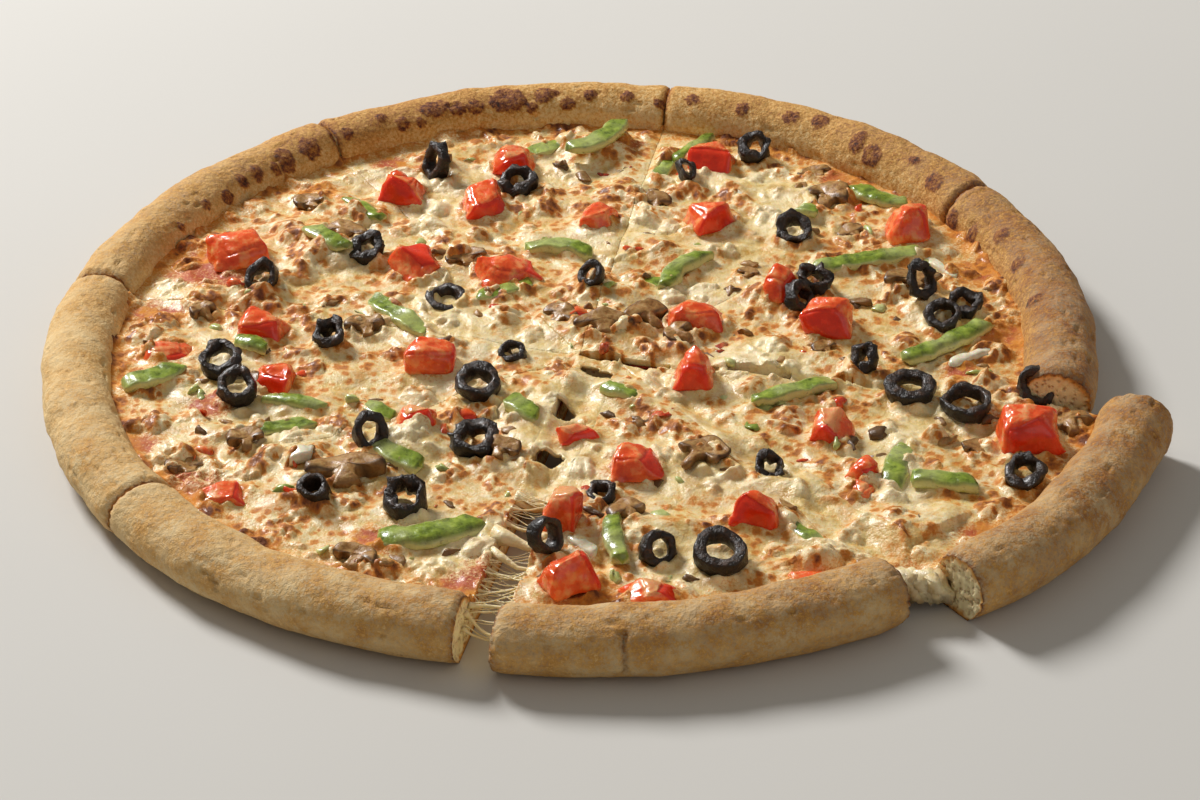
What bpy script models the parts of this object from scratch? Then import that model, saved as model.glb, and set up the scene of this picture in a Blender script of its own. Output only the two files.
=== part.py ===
"""Pan pizza, cut into eight slices, with two of the slices pulled a little way out.

Every slice is dough with a rolled rim, a layer of sauce and a layer of melted cheese.
The largest toppings are pieces of their own that rest on the cheese, and the smaller
ones are sunk into the cheese of their slice. Three stretches of pulled cheese span the
gaps beside the two moved slices.

Lengths below are millimetres and angles are degrees. The model is in metres, +Z up.
Bearings run anticlockwise from +X, as seen from above.
"""
import math

import bmesh
import bpy
from mathutils import Matrix, Vector, noise

MM = 0.001
GAP = 0.3
SEED = 11
SHARP_ANGLE = 50.0

# The round of dough
RIM_RADIUS = 166.0
RIM_HALF_WIDTH = 12.0
RIM_HEIGHT = 21.8
RIM_HEIGHT_SWING = 2.0
RIM_HIGH_BEARING = 45.0
RIM_BUMP = 0.9
RIM_FOOT = 1.4
RIM_END_PINCH = 0.9
BASE_HEIGHT = 7.0
SECTIONS_PER_SLICE = 10
RIM_SECTION_ANGLES = (180, 150, 120, 90, 60, 30, 0, -40)
RIM_SOLE = 0.35

# The layers on the dough
SAUCE_BOTTOM = BASE_HEIGHT + GAP
SAUCE_TOP = SAUCE_BOTTOM + 1.5
SAUCE_CLEAR = RIM_FOOT + 0.4
CHEESE_BOTTOM = SAUCE_TOP + GAP
CHEESE_CLEAR = RIM_FOOT - 0.2
CHEESE_SEAT = CHEESE_BOTTOM + 3.1
CHEESE_EDGE = CHEESE_BOTTOM + 1.9
CHEESE_LUMP = 4.6
CHEESE_LUMP_WIDTH = 26.0
CHEESE_EDGE_WAVE = 5.0
CHEESE_GRID = 8.5
CHEESE_FIELD = 204.0
CHEESE_FALL = 12.0
SEAT_MARGIN = 8.0
SEAT_SLOPE = 0.35
TOPPING_BASE = CHEESE_SEAT + GAP
SINK_DEPTH = 2.2

# The cuts cross a little off the middle of the round
CUT_POINT = (4.0, -10.0)
DOUGH_INSET = 0.4
SAUCE_INSET = 0.6
CHEESE_INSET = 0.5

# Slice number, first bearing, second bearing
SLICES = (
    (1, -13.3, 33.1),
    (2, 33.1, 78.7),
    (3, 78.7, 122.2),
    (4, 122.2, 164.5),
    (5, 164.5, 211.8),
    (6, 211.8, 256.8),
    (7, 258.4, 303.6),
    (8, 304.8, 346.7),
)
# Slice number: point it turns about, turn, shift
PULLED = {
    7: ((16.4, -88.5), -2.6, (9.5, -5.5)),
    8: ((73.0, -52.0), 0.0, (25.0, -10.0)),
}

# Rows are x, y, turn, length, width, height, tilt
TOMATO_PIECES = (
    (-116, 57, 20, 20, 15, 10, 0),
    (-60, 101, -10, 17, 15, 10, 5),
    (-21, 121, -4, 16, 14, 9, 0),
    (-31, 90, 15, 16, 15, 9, 0),
    (-52, 45, 42, 17, 16, 7, 14),
    (-21, 41, 12, 20, 13, 8, 0),
    (-103, 6, -18, 17, 14, 10, 0),
    (-46, -17, -4, 16, 13, 11, 0),
    (53, 121, -20, 16, 13, 9, 0),
    (52, 76, 24, 19, 14, 10, 0),
    (120, 67, 10, 17, 16, 12, 0),
    (88, 2, -8, 18, 16, 13, 0),
    (44, 8, -5, 21, 14, 8, 0),
    (41, -30, 0, 14, 13, 14, 0),
    (85, -65, -15, 13, 12, 9, 0),
    (21, -83, 10, 17, 13, 9, 0),
    (-2, -112, 78, 15, 10, 13, 0),
    (0, -146, 22, 20, 13, 13, 0),
    (57, -112, -10, 15, 13, 11, 0),
    (148, -72, 5, 18, 16, 14, 0),
)
# Rows are x, y, turn, outer diameter, height, tilt
OLIVE_RINGS = (
    (-116, -17, 0, 15.4, 5.0, 14),
    (-109, -36, 0, 14.8, 5.5, 22),
    (80, 64, 0, 13.0, 5.0, 30),
    (46, -136, 10, 16.8, 5.5, 18),
    (-30, -36, 20, 16.4, 5.5, 16),
    (112, -43, 0, 15.6, 5.5, 12),
    (129, -52, 0, 16.4, 5.0, 6),
)
# Rows are x, y, turn, length, width, height, bend
PEPPER_STRIPS = (
    (-138, -25, 31, 21, 6.5, 4.5, 50),
    (104, 45, 15, 41, 6.0, 4.5, 4),
    (128, -12, 36, 38, 5.5, 4.5, 25),
    (-43, -120, 15, 32, 9.5, 4.5, 60),
    (111, 90, -38, 25, 5.5, 4.0, 60),
    (-59, 14, -50, 32, 6.0, 3.5, 12),
)

# Smaller toppings, sunk into the cheese of the slice that the row starts with
SUNK_TOMATOES = (
    (1, 73, 24, 60, 14, 9, 10, 0),
    (3, 11, 77, 70, 14, 10, 7, 0),
    (5, -98, -25, -25, 15, 13, 8, 0),
    (5, -135, -5, 10, 19, 11, 5, 0),
    (6, -109, -93, 15, 16, 12, 7, 0),
    (6, -50, -53, 0, 12, 10, 6, 0),
    (8, 93, -88, 60, 9, 8, 7, 0),
    (8, 92, -97, 50, 10, 8, 5, 0),
)
SUNK_OLIVES = (
    (1, 85, 28, 0, 12.0, 6.0, 20),
    (1, 79, 17, 60, 11.5, 5.0, 60),
    (1, 135, 12, 0, 13.0, 6.0, 10),
    (1, 98, -25, -35, 12.0, 5.0, 60),
    (2, 69, 126, 0, 12.0, 5.0, 30),
    (3, -48, 116, -60, 14.0, 5.0, 70),
    (3, -18, 104, 0, 14.0, 5.0, 20),
    (4, -106, 36, 0, 13.0, 6.0, 40),
    (4, -42, 27, 0, 14.5, 5.0, 8),
    (4, -71, 57, -20, 12.5, 5.0, 30),
    (5, -81, -2, 0, 10.5, 5.0, 20),
    (6, -64, -65, 20, 14.0, 5.0, 60),
    (6, -30, -68, 0, 16.0, 5.0, 10),
    (6, -80, -96, 0, 10.5, 7.0, 20),
    (6, -51, -103, 0, 14.5, 6.0, 20),
    (7, 10, -96, 0, 10.5, 6.0, 10),
    (7, 27, -131, 20, 12.5, 5.0, 60),
    (8, 143, -94, 0, 13.0, 6.0, 20),
)
SUNK_PEPPERS = (
    (2, 40, 42, 55, 26, 5.0, 4.0, -60),
    (3, -3, 58, -12, 21, 5.0, 4.0, -50),
    (3, 10, 131, 40, 24, 4.5, 4.0, 50),
    (3, -6, 136, 30, 20, 5.0, 3.0, 0),
    (4, -85, 62, -48, 17, 5.5, 3.5, 20),
    (4, -74, 90, -50, 18, 5.0, 3.0, 0),
    (5, -90, -41, -20, 16, 5.5, 3.5, 0),
    (5, -96, -55, 14, 26, 5.0, 3.5, 20),
    (6, -15, -50, -50, 13, 6.0, 4.0, 20),
    (6, -55, -74, -38, 17, 7.0, 4.5, 20),
    (7, 14, -124, -85, 24, 5.0, 5.0, 20),
    (7, 73, -121, -52, 15, 4.5, 3.5, 10),
    (8, 104, -84, -105, 24, 7.0, 4.5, 20),
    (8, 118, -95, -12, 21, 6.0, 4.5, 10),
)
SUNK_ONIONS = (
    (1, 135, -21, 28, 18, 4.5, 3.0, 20),
    (7, 4, -126, -50, 11, 4.5, 3.0, 10),
)
# Rows are slice, x, y, turn, cap width, length, height
SUNK_MUSHROOMS = (
    (1, 119, 28, 10, 20, 14, 4.0),
    (2, 94, 92, -20, 17, 17, 5.0),
    (2, 101, 68, 30, 12, 11, 4.0),
    (4, -80, 72, -15, 17, 12, 4.0),
    (4, -93, 95, 20, 11, 12, 4.5),
    (5, -122, -75, 25, 15, 11, 4.0),
    (5, -104, -66, 20, 13, 10, 4.5),
    (6, -71, -84, 8, 27, 14, 8.0),
    (6, -65, -131, -25, 17, 10, 5.0),
    (7, 42, -78, -40, 17, 17, 4.5),
    (7, 18, -110, 30, 13, 12, 4.5),
    (8, 162, -62, 10, 15, 11, 4.0),
)

# Stretched cheese across the gaps: thin sheets with openings along their length
STRETCH_TOP = CHEESE_SEAT - 0.6
STRETCH_BOTTOM = CHEESE_BOTTOM + 0.4
STRETCH_CLEAR = 1.0
STRETCH_EDGE = 0.2
# Rows are slice, bearing and two distances for one side, the same for the other side,
# the number of steps along the gap, and the steps that are left open
STRETCHES = (
    (6, 256.8, (6, 139), 7, 258.4, (4, 136), 11, (1, 3, 5, 7, 8, 9)),
    (7, 303.6, (8, 140), 8, 304.8, (2, 130), 8, ()),
    (8, 346.7, (3, 118), 1, -13.3, (30, 143), 8, (1, 2, 6)),
)

# Shapes of the toppings
TOMATO_TAPER = (0.82, 0.78)
TOMATO_ROUNDING = 0.16
TOMATO_UNEVEN = 0.7
OLIVE_HOLE = 0.27
OLIVE_STEPS = 12
SMALL_OLIVE_STEPS = 8
OLIVE_UNEVEN = 0.4
STRIP_END_TAPER = 0.3
STRIP_TOP_TAPER = 0.7
STRIP_CUTS = 5
SMALL_STRIP_CUTS = 3
SLICE_UNEVEN = 0.3
UNEVEN_WIDTH = 6.0
# Mushroom slices: shares of the cap's width and of the whole length
CAP_HEIGHT = 0.55
STEM_WIDTH = (0.16, 0.14)
STEM_END = -0.45


def degrees_between(first, last, steps):
    """Even steps from one angle to another, both ends included."""
    return [first + (last - first) * index / steps for index in range(steps + 1)]


def heading(bearing):
    """Unit vector on the table at this bearing."""
    return Vector((math.cos(math.radians(bearing)), math.sin(math.radians(bearing))))


def reach(start, bearing, radius):
    """Distance from a point inside a circle about the middle to the circle."""
    along = start.dot(heading(bearing))
    return -along + math.sqrt(along * along - start.length_squared + radius * radius)


def ring_noise(bearing, layer, lobes):
    """Smooth uneven value between about -1 and 1 that closes round the ring."""
    spot = heading(bearing) * lobes
    return noise.noise(Vector((spot.x, spot.y, layer)))


def rim_shape(start, bearing):
    """Distance to the middle of the rim along a bearing, its half width and its height."""
    rough = start + heading(bearing) * reach(start, bearing, RIM_RADIUS)
    around = math.degrees(math.atan2(rough.y, rough.x))
    radius = RIM_RADIUS + RIM_BUMP * ring_noise(around, 3.7, 5)
    half = RIM_HALF_WIDTH + RIM_BUMP * ring_noise(around, 8.2, 7)
    swing = RIM_HEIGHT_SWING * math.cos(math.radians(around - RIM_HIGH_BEARING))
    height = RIM_HEIGHT + swing + RIM_BUMP * ring_noise(around, 1.3, 6)
    return reach(start, bearing, radius), half, height


def placement(number):
    """How a slice moved from its place in the round."""
    if number not in PULLED:
        return Matrix.Identity(4)
    pivot, turn, shift = PULLED[number]
    about = Vector((*pivot, 0))
    moved = Matrix.Translation(about + Vector((*shift, 0)))
    return moved @ Matrix.Rotation(math.radians(turn), 4, "Z") @ Matrix.Translation(-about)


def wedge_point(first, last, inset):
    """Tip of a slice whose cut sides are set in by this much."""
    half = math.radians(last - first) / 2
    return Vector(CUT_POINT) + heading((first + last) / 2) * inset / math.sin(half)


def material(name, colour, roughness):
    """Plain finish for a kind of piece."""
    finish = bpy.data.materials.new(name)
    finish.use_nodes = True
    shader = finish.node_tree.nodes["Principled BSDF"]
    shader.inputs["Base Color"].default_value = (*colour, 1)
    shader.inputs["Roughness"].default_value = roughness
    return finish


def object_from(bm, name, finish=None, move=None):
    """Object in metres from a mesh in millimetres."""
    bmesh.ops.recalc_face_normals(bm, faces=bm.faces)
    if move is not None:
        bmesh.ops.transform(bm, matrix=move, verts=bm.verts)
    bmesh.ops.scale(bm, vec=(MM, MM, MM), verts=bm.verts)
    mesh = bpy.data.meshes.new(name)
    bm.to_mesh(mesh)
    bm.free()
    piece = bpy.data.objects.new(name, mesh)
    bpy.context.scene.collection.objects.link(piece)
    if finish is not None:
        mesh.materials.append(finish)
    mesh.shade_smooth()
    mesh.set_sharp_from_angle(angle=math.radians(SHARP_ANGLE))
    return piece


def crust_section(start, bearing, pinch):
    """Outline of the dough along one bearing: distance from the tip, and height."""
    centre, half, height = rim_shape(start, bearing)
    half -= pinch / 2
    height -= pinch
    points = [(0, BASE_HEIGHT), (centre - half - RIM_FOOT, BASE_HEIGHT)]
    for angle in RIM_SECTION_ANGLES:
        around = math.radians(angle)
        points.append((centre + half * math.cos(around), height / 2 * (1 + math.sin(around))))
    points.append((centre + half * RIM_SOLE, 0))
    points.append((0, 0))
    return points


def crust(number, first, last, finish):
    """Dough of one slice: a flat base that rises into the rolled rim."""
    start = wedge_point(first, last, DOUGH_INSET)
    bearings = degrees_between(first, last, SECTIONS_PER_SLICE)
    ends = (0, SECTIONS_PER_SLICE)
    sections = []
    for index, bearing in enumerate(bearings):
        sections.append(crust_section(start, bearing, RIM_END_PINCH if index in ends else 0))
    around = len(sections[0])
    bm = bmesh.new()
    bmesh.ops.create_grid(bm, x_segments=around, y_segments=SECTIONS_PER_SLICE, size=0.5)
    cut_faces = {end: {} for end in ends}
    for vert in bm.verts:
        point = round((vert.co.x + 0.5) * around)
        section = round((vert.co.y + 0.5) * SECTIONS_PER_SLICE)
        distance, height = sections[section][point % around]
        spot = start + heading(bearings[section]) * distance
        vert.co = (spot.x, spot.y, height)
        if section in ends and point < around:
            cut_faces[section][point] = vert
    for corners in cut_faces.values():
        bm.faces.new([corners[point] for point in range(around)])
    bmesh.ops.remove_doubles(bm, verts=bm.verts, dist=0.01)
    return object_from(bm, f"crust_{number}", finish, placement(number))


def prism(outline, bottom, top):
    """Closed upright block on an outline."""
    bm = bmesh.new()
    face = bm.faces.new([bm.verts.new((spot.x, spot.y, bottom)) for spot in outline])
    raised = bmesh.ops.extrude_face_region(bm, geom=[face])
    upper = [item for item in raised["geom"] if isinstance(item, bmesh.types.BMVert)]
    bmesh.ops.translate(bm, vec=(0, 0, top - bottom), verts=upper)
    return bm


def layer_outline(first, last, inset, clear, wave=0):
    """Outline of a layer inside the rim of a slice."""
    start = wedge_point(first, last, inset)
    outline = [start]
    for bearing in degrees_between(first, last, SECTIONS_PER_SLICE):
        centre, half, _ = rim_shape(start, bearing)
        short = wave * max(0, ring_noise(bearing, 5.1, 9))
        outline.append(start + heading(bearing) * (centre - half - clear - short))
    return outline


def sauce(number, first, last, finish):
    """Thin layer of sauce on the base of a slice."""
    outline = layer_outline(first, last, SAUCE_INSET, SAUCE_CLEAR)
    bm = prism(outline, SAUCE_BOTTOM, SAUCE_TOP)
    return object_from(bm, f"sauce_{number}", finish, placement(number))


def cheese_seats():
    """Flat places that the loose toppings rest on: middle and radius."""
    seats = [((row[0], row[1]), max(row[3], row[4]) / 2) for row in TOMATO_PIECES]
    seats += [((row[0], row[1]), row[3] / 2) for row in OLIVE_RINGS]
    for x, y, turn, length, width, _, _ in PEPPER_STRIPS:
        for part in (-0.35, 0, 0.35):
            spot = Vector((x, y)) + heading(turn) * length * part
            seats.append((tuple(spot), length / 6 + width / 2))
    return seats


def place_in_round(x, y):
    """Where a spot on a moved slice was before the move, or else the spot itself."""
    for number, first, last in SLICES:
        if number in PULLED:
            before = (placement(number).inverted() @ Vector((x, y, 0))).xy
            away = before - Vector(CUT_POINT)
            if first < math.degrees(math.atan2(away.y, away.x)) % 360 < last:
                return before
    return Vector((x, y))


def cheese_height(x, y, seats):
    """Height of the melted cheese at a spot, low under the loose toppings and at the rim."""
    spot = Vector((x, y, 0)) / CHEESE_LUMP_WIDTH
    lump = noise.noise(spot) + 0.5 * noise.noise(spot * 2.1 + Vector((9, 4, 2)))
    height = CHEESE_SEAT + CHEESE_LUMP * lump
    for middle, radius in seats:
        away = math.hypot(x - middle[0], y - middle[1]) - radius - SEAT_MARGIN
        height = min(height, CHEESE_SEAT + SEAT_SLOPE * max(0, away))
    inside = max(0, RIM_RADIUS - RIM_HALF_WIDTH - place_in_round(x, y).length)
    if inside < CHEESE_FALL:
        height = min(height, CHEESE_EDGE + (CHEESE_SEAT - CHEESE_EDGE) * inside / CHEESE_FALL)
    return max(height, CHEESE_EDGE)


def cheese_field(seats):
    """Uneven slab that gives the cheese of every slice its upper face."""
    count = round(2 * CHEESE_FIELD / CHEESE_GRID)
    bm = bmesh.new()
    bmesh.ops.create_grid(bm, x_segments=count, y_segments=count, size=CHEESE_FIELD)
    for vert in bm.verts:
        vert.co.z = cheese_height(vert.co.x, vert.co.y, seats)
    lowered = bmesh.ops.extrude_face_region(bm, geom=list(bm.faces))
    for item in lowered["geom"]:
        if isinstance(item, bmesh.types.BMVert):
            item.co.z = BASE_HEIGHT / 2
    field = object_from(bm, "cheese_field_cutter")
    field.hide_render = True
    field.display_type = "WIRE"
    return field


def apply_modifiers(piece):
    """Keep what the modifiers of a piece show as its mesh."""
    shown = piece.evaluated_get(bpy.context.evaluated_depsgraph_get())
    mesh = bpy.data.meshes.new_from_object(shown)
    piece.modifiers.clear()
    piece.data = mesh


def keep_largest_shell(mesh):
    """Fill sealed hollows and drop loose scraps, which are shells that share no plain edge."""
    bm = bmesh.new()
    bm.from_mesh(mesh)
    bmesh.ops.triangulate(bm, faces=bm.faces)
    left = set(bm.faces)
    shells = []
    while left:
        shell = set()
        reached = [left.pop()]
        while reached:
            face = reached.pop()
            shell.add(face)
            plain_edges = [edge for edge in face.edges if len(edge.link_faces) == 2]
            for beside in {near for edge in plain_edges for near in edge.link_faces} & left:
                left.remove(beside)
                reached.append(beside)
        shells.append(shell)
    largest = max(shells, key=lambda faces: sum(face.calc_area() for face in faces))
    extra = [face for face in bm.faces if face not in largest]
    bmesh.ops.delete(bm, geom=extra, context="FACES")
    bm.to_mesh(mesh)
    bm.free()


def combine(piece, other, operation, solver="EXACT"):
    """Boolean of a piece with an object or with all of a collection."""
    cut = piece.modifiers.new(operation.lower(), "BOOLEAN")
    cut.operation = operation
    cut.solver = solver
    if isinstance(other, bpy.types.Collection):
        cut.operand_type = "COLLECTION"
        cut.collection = other
    else:
        cut.object = other
    apply_modifiers(piece)


def sink_toppings(piece, toppings):
    """Join small toppings to the cheese that they are sunk into."""
    group = bpy.data.collections.new("sunk_toppings")
    bpy.context.scene.collection.children.link(group)
    for topping in toppings:
        bpy.context.scene.collection.objects.unlink(topping)
        group.objects.link(topping)
    combine(piece, group, "UNION", "MANIFOLD")
    keep_largest_shell(piece.data)
    for topping in toppings:
        bpy.data.objects.remove(topping)
    bpy.data.collections.remove(group)


def cheese(number, first, last, finish, field, toppings):
    """Melted cheese of one slice, with its small toppings sunk in."""
    outline = layer_outline(first, last, CHEESE_INSET, CHEESE_CLEAR, CHEESE_EDGE_WAVE)
    bm = prism(outline, CHEESE_BOTTOM, CHEESE_SEAT + 4 * CHEESE_LUMP)
    piece = object_from(bm, f"cheese_{number}", finish, placement(number))
    combine(piece, field, "INTERSECT")
    if toppings:
        sink_toppings(piece, toppings)
    return piece


def side_of_slice(number, bearing, distances, aside):
    """Two points along a cut side of a slice, moved into the gap beside it."""
    across = heading(bearing + 90) * aside
    points = []
    for distance in distances:
        spot = Vector(CUT_POINT) + heading(bearing) * distance + across
        points.append((placement(number) @ Vector((*spot, 0))).xy)
    return points


def stretched_cheese(number, row, finish):
    """Sheet of pulled cheese in the gap between the cut sides of two slices."""
    near = side_of_slice(*row[0:3], STRETCH_CLEAR)
    far = side_of_slice(*row[3:6], -STRETCH_CLEAR)
    rows, openings = row[6:8]
    bm = bmesh.new()
    bmesh.ops.create_grid(bm, x_segments=3, y_segments=rows, size=0.5)
    gone = []
    for face in bm.faces:
        middle = face.calc_center_median()
        if abs(middle.x) < 0.1 and int((middle.y + 0.5) * rows) in openings:
            gone.append(face)
    bmesh.ops.delete(bm, geom=gone, context="FACES")
    for vert in bm.verts:
        across = vert.co.x + 0.5
        along = vert.co.y + 0.5
        if 0.1 < across < 0.9:
            across = STRETCH_EDGE if across < 0.5 else 1 - STRETCH_EDGE
        spot = near[0].lerp(near[1], along).lerp(far[0].lerp(far[1], along), across)
        vert.co = (spot.x, spot.y, STRETCH_BOTTOM)
    raised = bmesh.ops.extrude_face_region(bm, geom=list(bm.faces))
    for item in raised["geom"]:
        if isinstance(item, bmesh.types.BMVert):
            item.co.z = STRETCH_TOP
    return object_from(bm, f"stretched_cheese_{number}", finish)


def roughen(bm, amount, seed):
    """Small uneven moves, so that no two pieces are alike."""
    for vert in bm.verts:
        shift = noise.noise_vector(vert.co / UNEVEN_WIDTH + Vector((seed * 3.1, seed * 1.7, seed)))
        vert.co += shift * amount


def bend(bm, length, angle):
    """Bend a bar that lies along X into an arc on the table."""
    if angle == 0:
        return
    radius = length / math.radians(angle)
    half_rise = radius * (1 - math.cos(math.radians(angle) / 4))
    for vert in bm.verts:
        turn = vert.co.x / radius
        away = radius - vert.co.y
        vert.co.x = away * math.sin(turn)
        vert.co.y = radius - away * math.cos(turn) - half_rise


def lay(bm, x, y, turn, tilt, base):
    """Turn and tilt a piece and set its lowest point at a height."""
    spin = Matrix.Rotation(math.radians(turn), 4, "Z") @ Matrix.Rotation(math.radians(tilt), 4, "X")
    bmesh.ops.transform(bm, matrix=spin, verts=bm.verts)
    lowest = min(vert.co.z for vert in bm.verts)
    bmesh.ops.translate(bm, vec=(x, y, base - lowest), verts=bm.verts)


def tomato(seed, x, y, turn, length, width, height, tilt, base, name, finish):
    """Diced tomato: a rounded, slightly tapered block."""
    bm = bmesh.new()
    bmesh.ops.create_cube(bm, size=1)
    bmesh.ops.scale(bm, vec=(length, width, height), verts=bm.verts)
    for vert in bm.verts:
        if vert.co.z > 0:
            vert.co.x *= TOMATO_TAPER[0]
            vert.co.y *= TOMATO_TAPER[1]
    rounding = TOMATO_ROUNDING * min(length, width, height)
    bmesh.ops.bevel(bm, geom=bm.edges[:], offset=rounding, segments=1, profile=0.5,
                    affect="EDGES", material=-1)
    roughen(bm, TOMATO_UNEVEN, seed)
    lay(bm, x, y, turn, tilt, base)
    return object_from(bm, name, finish)


def olive(seed, x, y, turn, outer, height, tilt, base, name, finish, steps=OLIVE_STEPS):
    """Cut ring of an olive."""
    bm = bmesh.new()
    hole = outer * OLIVE_HOLE
    wall = (hole + outer / 2) / 2
    points = ((hole, 0), (wall, height / 2), (outer / 2, 0), (wall, -height / 2))
    verts = [bm.verts.new((radius, 0, rise)) for radius, rise in points]
    edges = [bm.edges.new((verts[index], verts[(index + 1) % 4])) for index in range(4)]
    bmesh.ops.spin(bm, geom=verts + edges, cent=(0, 0, 0), axis=(0, 0, 1), dvec=(0, 0, 0),
                   angle=math.tau, steps=steps, use_merge=True)
    roughen(bm, OLIVE_UNEVEN, seed)
    lay(bm, x, y, turn, tilt, base)
    return object_from(bm, name, finish)


def strip(seed, x, y, turn, length, width, height, curve, base, name, finish, cuts=STRIP_CUTS):
    """Curved strip of pepper or onion."""
    bm = bmesh.new()
    bmesh.ops.create_cube(bm, size=1)
    long_edges = [edge for edge in bm.edges if abs(edge.verts[0].co.x - edge.verts[1].co.x) > 0.5]
    bmesh.ops.subdivide_edges(bm, edges=long_edges, cuts=cuts)
    bmesh.ops.scale(bm, vec=(length, width, height), verts=bm.verts)
    for vert in bm.verts:
        ends = abs(vert.co.x) * 2 / length
        vert.co.y *= 1 - STRIP_END_TAPER * ends ** 3
        if vert.co.z > 0:
            vert.co.y *= STRIP_TOP_TAPER
    bend(bm, length, curve)
    roughen(bm, SLICE_UNEVEN, seed)
    lay(bm, x, y, turn, 0, base)
    return object_from(bm, name, finish)


def mushroom(seed, x, y, turn, cap, length, height, base, name, finish):
    """Slice through a mushroom: a domed cap with a short stem."""
    outline = [heading(angle) * 0.5 for angle in degrees_between(0, 180, 6)]
    for spot in outline:
        spot.y *= 2 * CAP_HEIGHT
    neck, foot = STEM_WIDTH
    outline += [Vector((-neck, 0)), Vector((-foot, STEM_END)), Vector((foot, STEM_END)), Vector((neck, 0))]
    bm = prism([Vector((spot.x * cap, spot.y * length)) for spot in outline], 0, height)
    roughen(bm, SLICE_UNEVEN, seed)
    lay(bm, x, y, turn, 0, base)
    return object_from(bm, name, finish)


def sunk_toppings(number, finishes, seats):
    """Small toppings of one slice, set a little way into its cheese."""
    kinds = (
        (SUNK_TOMATOES, tomato, "tomato", ()),
        (SUNK_OLIVES, olive, "olive", (SMALL_OLIVE_STEPS,)),
        (SUNK_PEPPERS, strip, "pepper", (SMALL_STRIP_CUTS,)),
        (SUNK_ONIONS, strip, "onion", (SMALL_STRIP_CUTS,)),
        (SUNK_MUSHROOMS, mushroom, "mushroom", ()),
    )
    pieces = []
    for kind, (rows, make, finish, extra) in enumerate(kinds, 2):
        for index, (home, x, y, *rest) in enumerate(rows):
            if home == number:
                base = cheese_height(x, y, seats) - SINK_DEPTH
                pieces.append(make(index + 20 * kind, x, y, *rest, base, "sunk", finishes[finish], *extra))
    return pieces


def loose_toppings(finishes):
    """The largest toppings, each a piece of its own."""
    for index, row in enumerate(TOMATO_PIECES, 1):
        tomato(index, *row, TOPPING_BASE, f"tomato_{index}", finishes["tomato"])
    for index, row in enumerate(OLIVE_RINGS, 1):
        olive(index, *row, TOPPING_BASE, f"olive_{index}", finishes["olive"])
    for index, row in enumerate(PEPPER_STRIPS, 1):
        strip(index, *row, TOPPING_BASE, f"pepper_{index}", finishes["pepper"])


def set_on_origin():
    """Put the middle of the whole over the origin, with the underside at z = 0."""
    shown = [piece for piece in bpy.data.objects if not piece.hide_render]
    corners = [vert.co for piece in shown for vert in piece.data.vertices]
    low = [min(corner[axis] for corner in corners) for axis in range(3)]
    high = [max(corner[axis] for corner in corners) for axis in range(3)]
    shift = Matrix.Translation((-(low[0] + high[0]) / 2, -(low[1] + high[1]) / 2, -low[2]))
    for piece in bpy.data.objects:
        piece.data.transform(shift)


def main():
    """Build the whole pizza."""
    for old in list(bpy.data.objects):
        bpy.data.objects.remove(old)
    noise.seed_set(SEED)
    finishes = {
        "crust": material("baked dough", (0.62, 0.40, 0.20), 0.75),
        "sauce": material("tomato sauce", (0.50, 0.09, 0.02), 0.35),
        "cheese": material("melted cheese", (0.85, 0.74, 0.50), 0.35),
        "tomato": material("diced tomato", (0.65, 0.06, 0.02), 0.25),
        "olive": material("black olive", (0.02, 0.018, 0.02), 0.25),
        "pepper": material("green pepper", (0.20, 0.32, 0.06), 0.35),
        "mushroom": material("baked mushroom", (0.45, 0.33, 0.20), 0.6),
        "onion": material("softened onion", (0.80, 0.76, 0.58), 0.35),
    }
    seats = cheese_seats()
    field = cheese_field(seats)
    for number, first, last in SLICES:
        crust(number, first, last, finishes["crust"])
        sauce(number, first, last, finishes["sauce"])
        small = sunk_toppings(number, finishes, seats)
        cheese(number, first, last, finishes["cheese"], field, small)
    bpy.data.objects.remove(field)
    for number, row in enumerate(STRETCHES, 1):
        stretched_cheese(number, row, finishes["cheese"])
    loose_toppings(finishes)
    set_on_origin()


main()
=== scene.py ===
"""Pan pizza with a hand-rolled rim, cut into eight slices, two of them pulled a little way out.

The pieces are modelled in millimetres about the middle of the round, with X to the right, Y
away from the viewer and Z up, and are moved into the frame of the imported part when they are
finished. Bearings are degrees and run anticlockwise from +X, as seen from above.
"""

import math
from functools import lru_cache

import bmesh
import bpy
import numpy as np
from bpy.props import FloatProperty, FloatVectorProperty, PointerProperty
from mathutils import Matrix, Vector, noise


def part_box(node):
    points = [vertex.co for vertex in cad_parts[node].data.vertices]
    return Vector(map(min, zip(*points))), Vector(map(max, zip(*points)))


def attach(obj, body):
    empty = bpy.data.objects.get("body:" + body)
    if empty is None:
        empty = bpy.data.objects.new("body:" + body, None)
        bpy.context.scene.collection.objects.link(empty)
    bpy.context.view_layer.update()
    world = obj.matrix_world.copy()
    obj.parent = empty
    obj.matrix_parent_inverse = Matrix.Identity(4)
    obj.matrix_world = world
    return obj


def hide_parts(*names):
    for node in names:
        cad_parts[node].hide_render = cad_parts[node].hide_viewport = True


bl_info = {
    "name": "Pan pizza",
    "version": (1, 0, 0),
    "blender": (4, 5, 0),
    "location": "3D View > Sidebar > Pizza",
    "description": "Dresses the packed pan pizza with baked dough, melted cheese and toppings",
    "category": "Object",
}

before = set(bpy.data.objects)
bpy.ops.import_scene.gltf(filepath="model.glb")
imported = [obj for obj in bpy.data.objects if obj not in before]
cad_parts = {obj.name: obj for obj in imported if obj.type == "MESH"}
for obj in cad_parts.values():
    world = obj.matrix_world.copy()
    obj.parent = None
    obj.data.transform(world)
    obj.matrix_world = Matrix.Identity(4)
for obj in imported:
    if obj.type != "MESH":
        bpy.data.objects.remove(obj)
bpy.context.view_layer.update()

MM = 0.001
SEED = 11
SMALL_SEED = 30
ONION_SEED = 60

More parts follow.
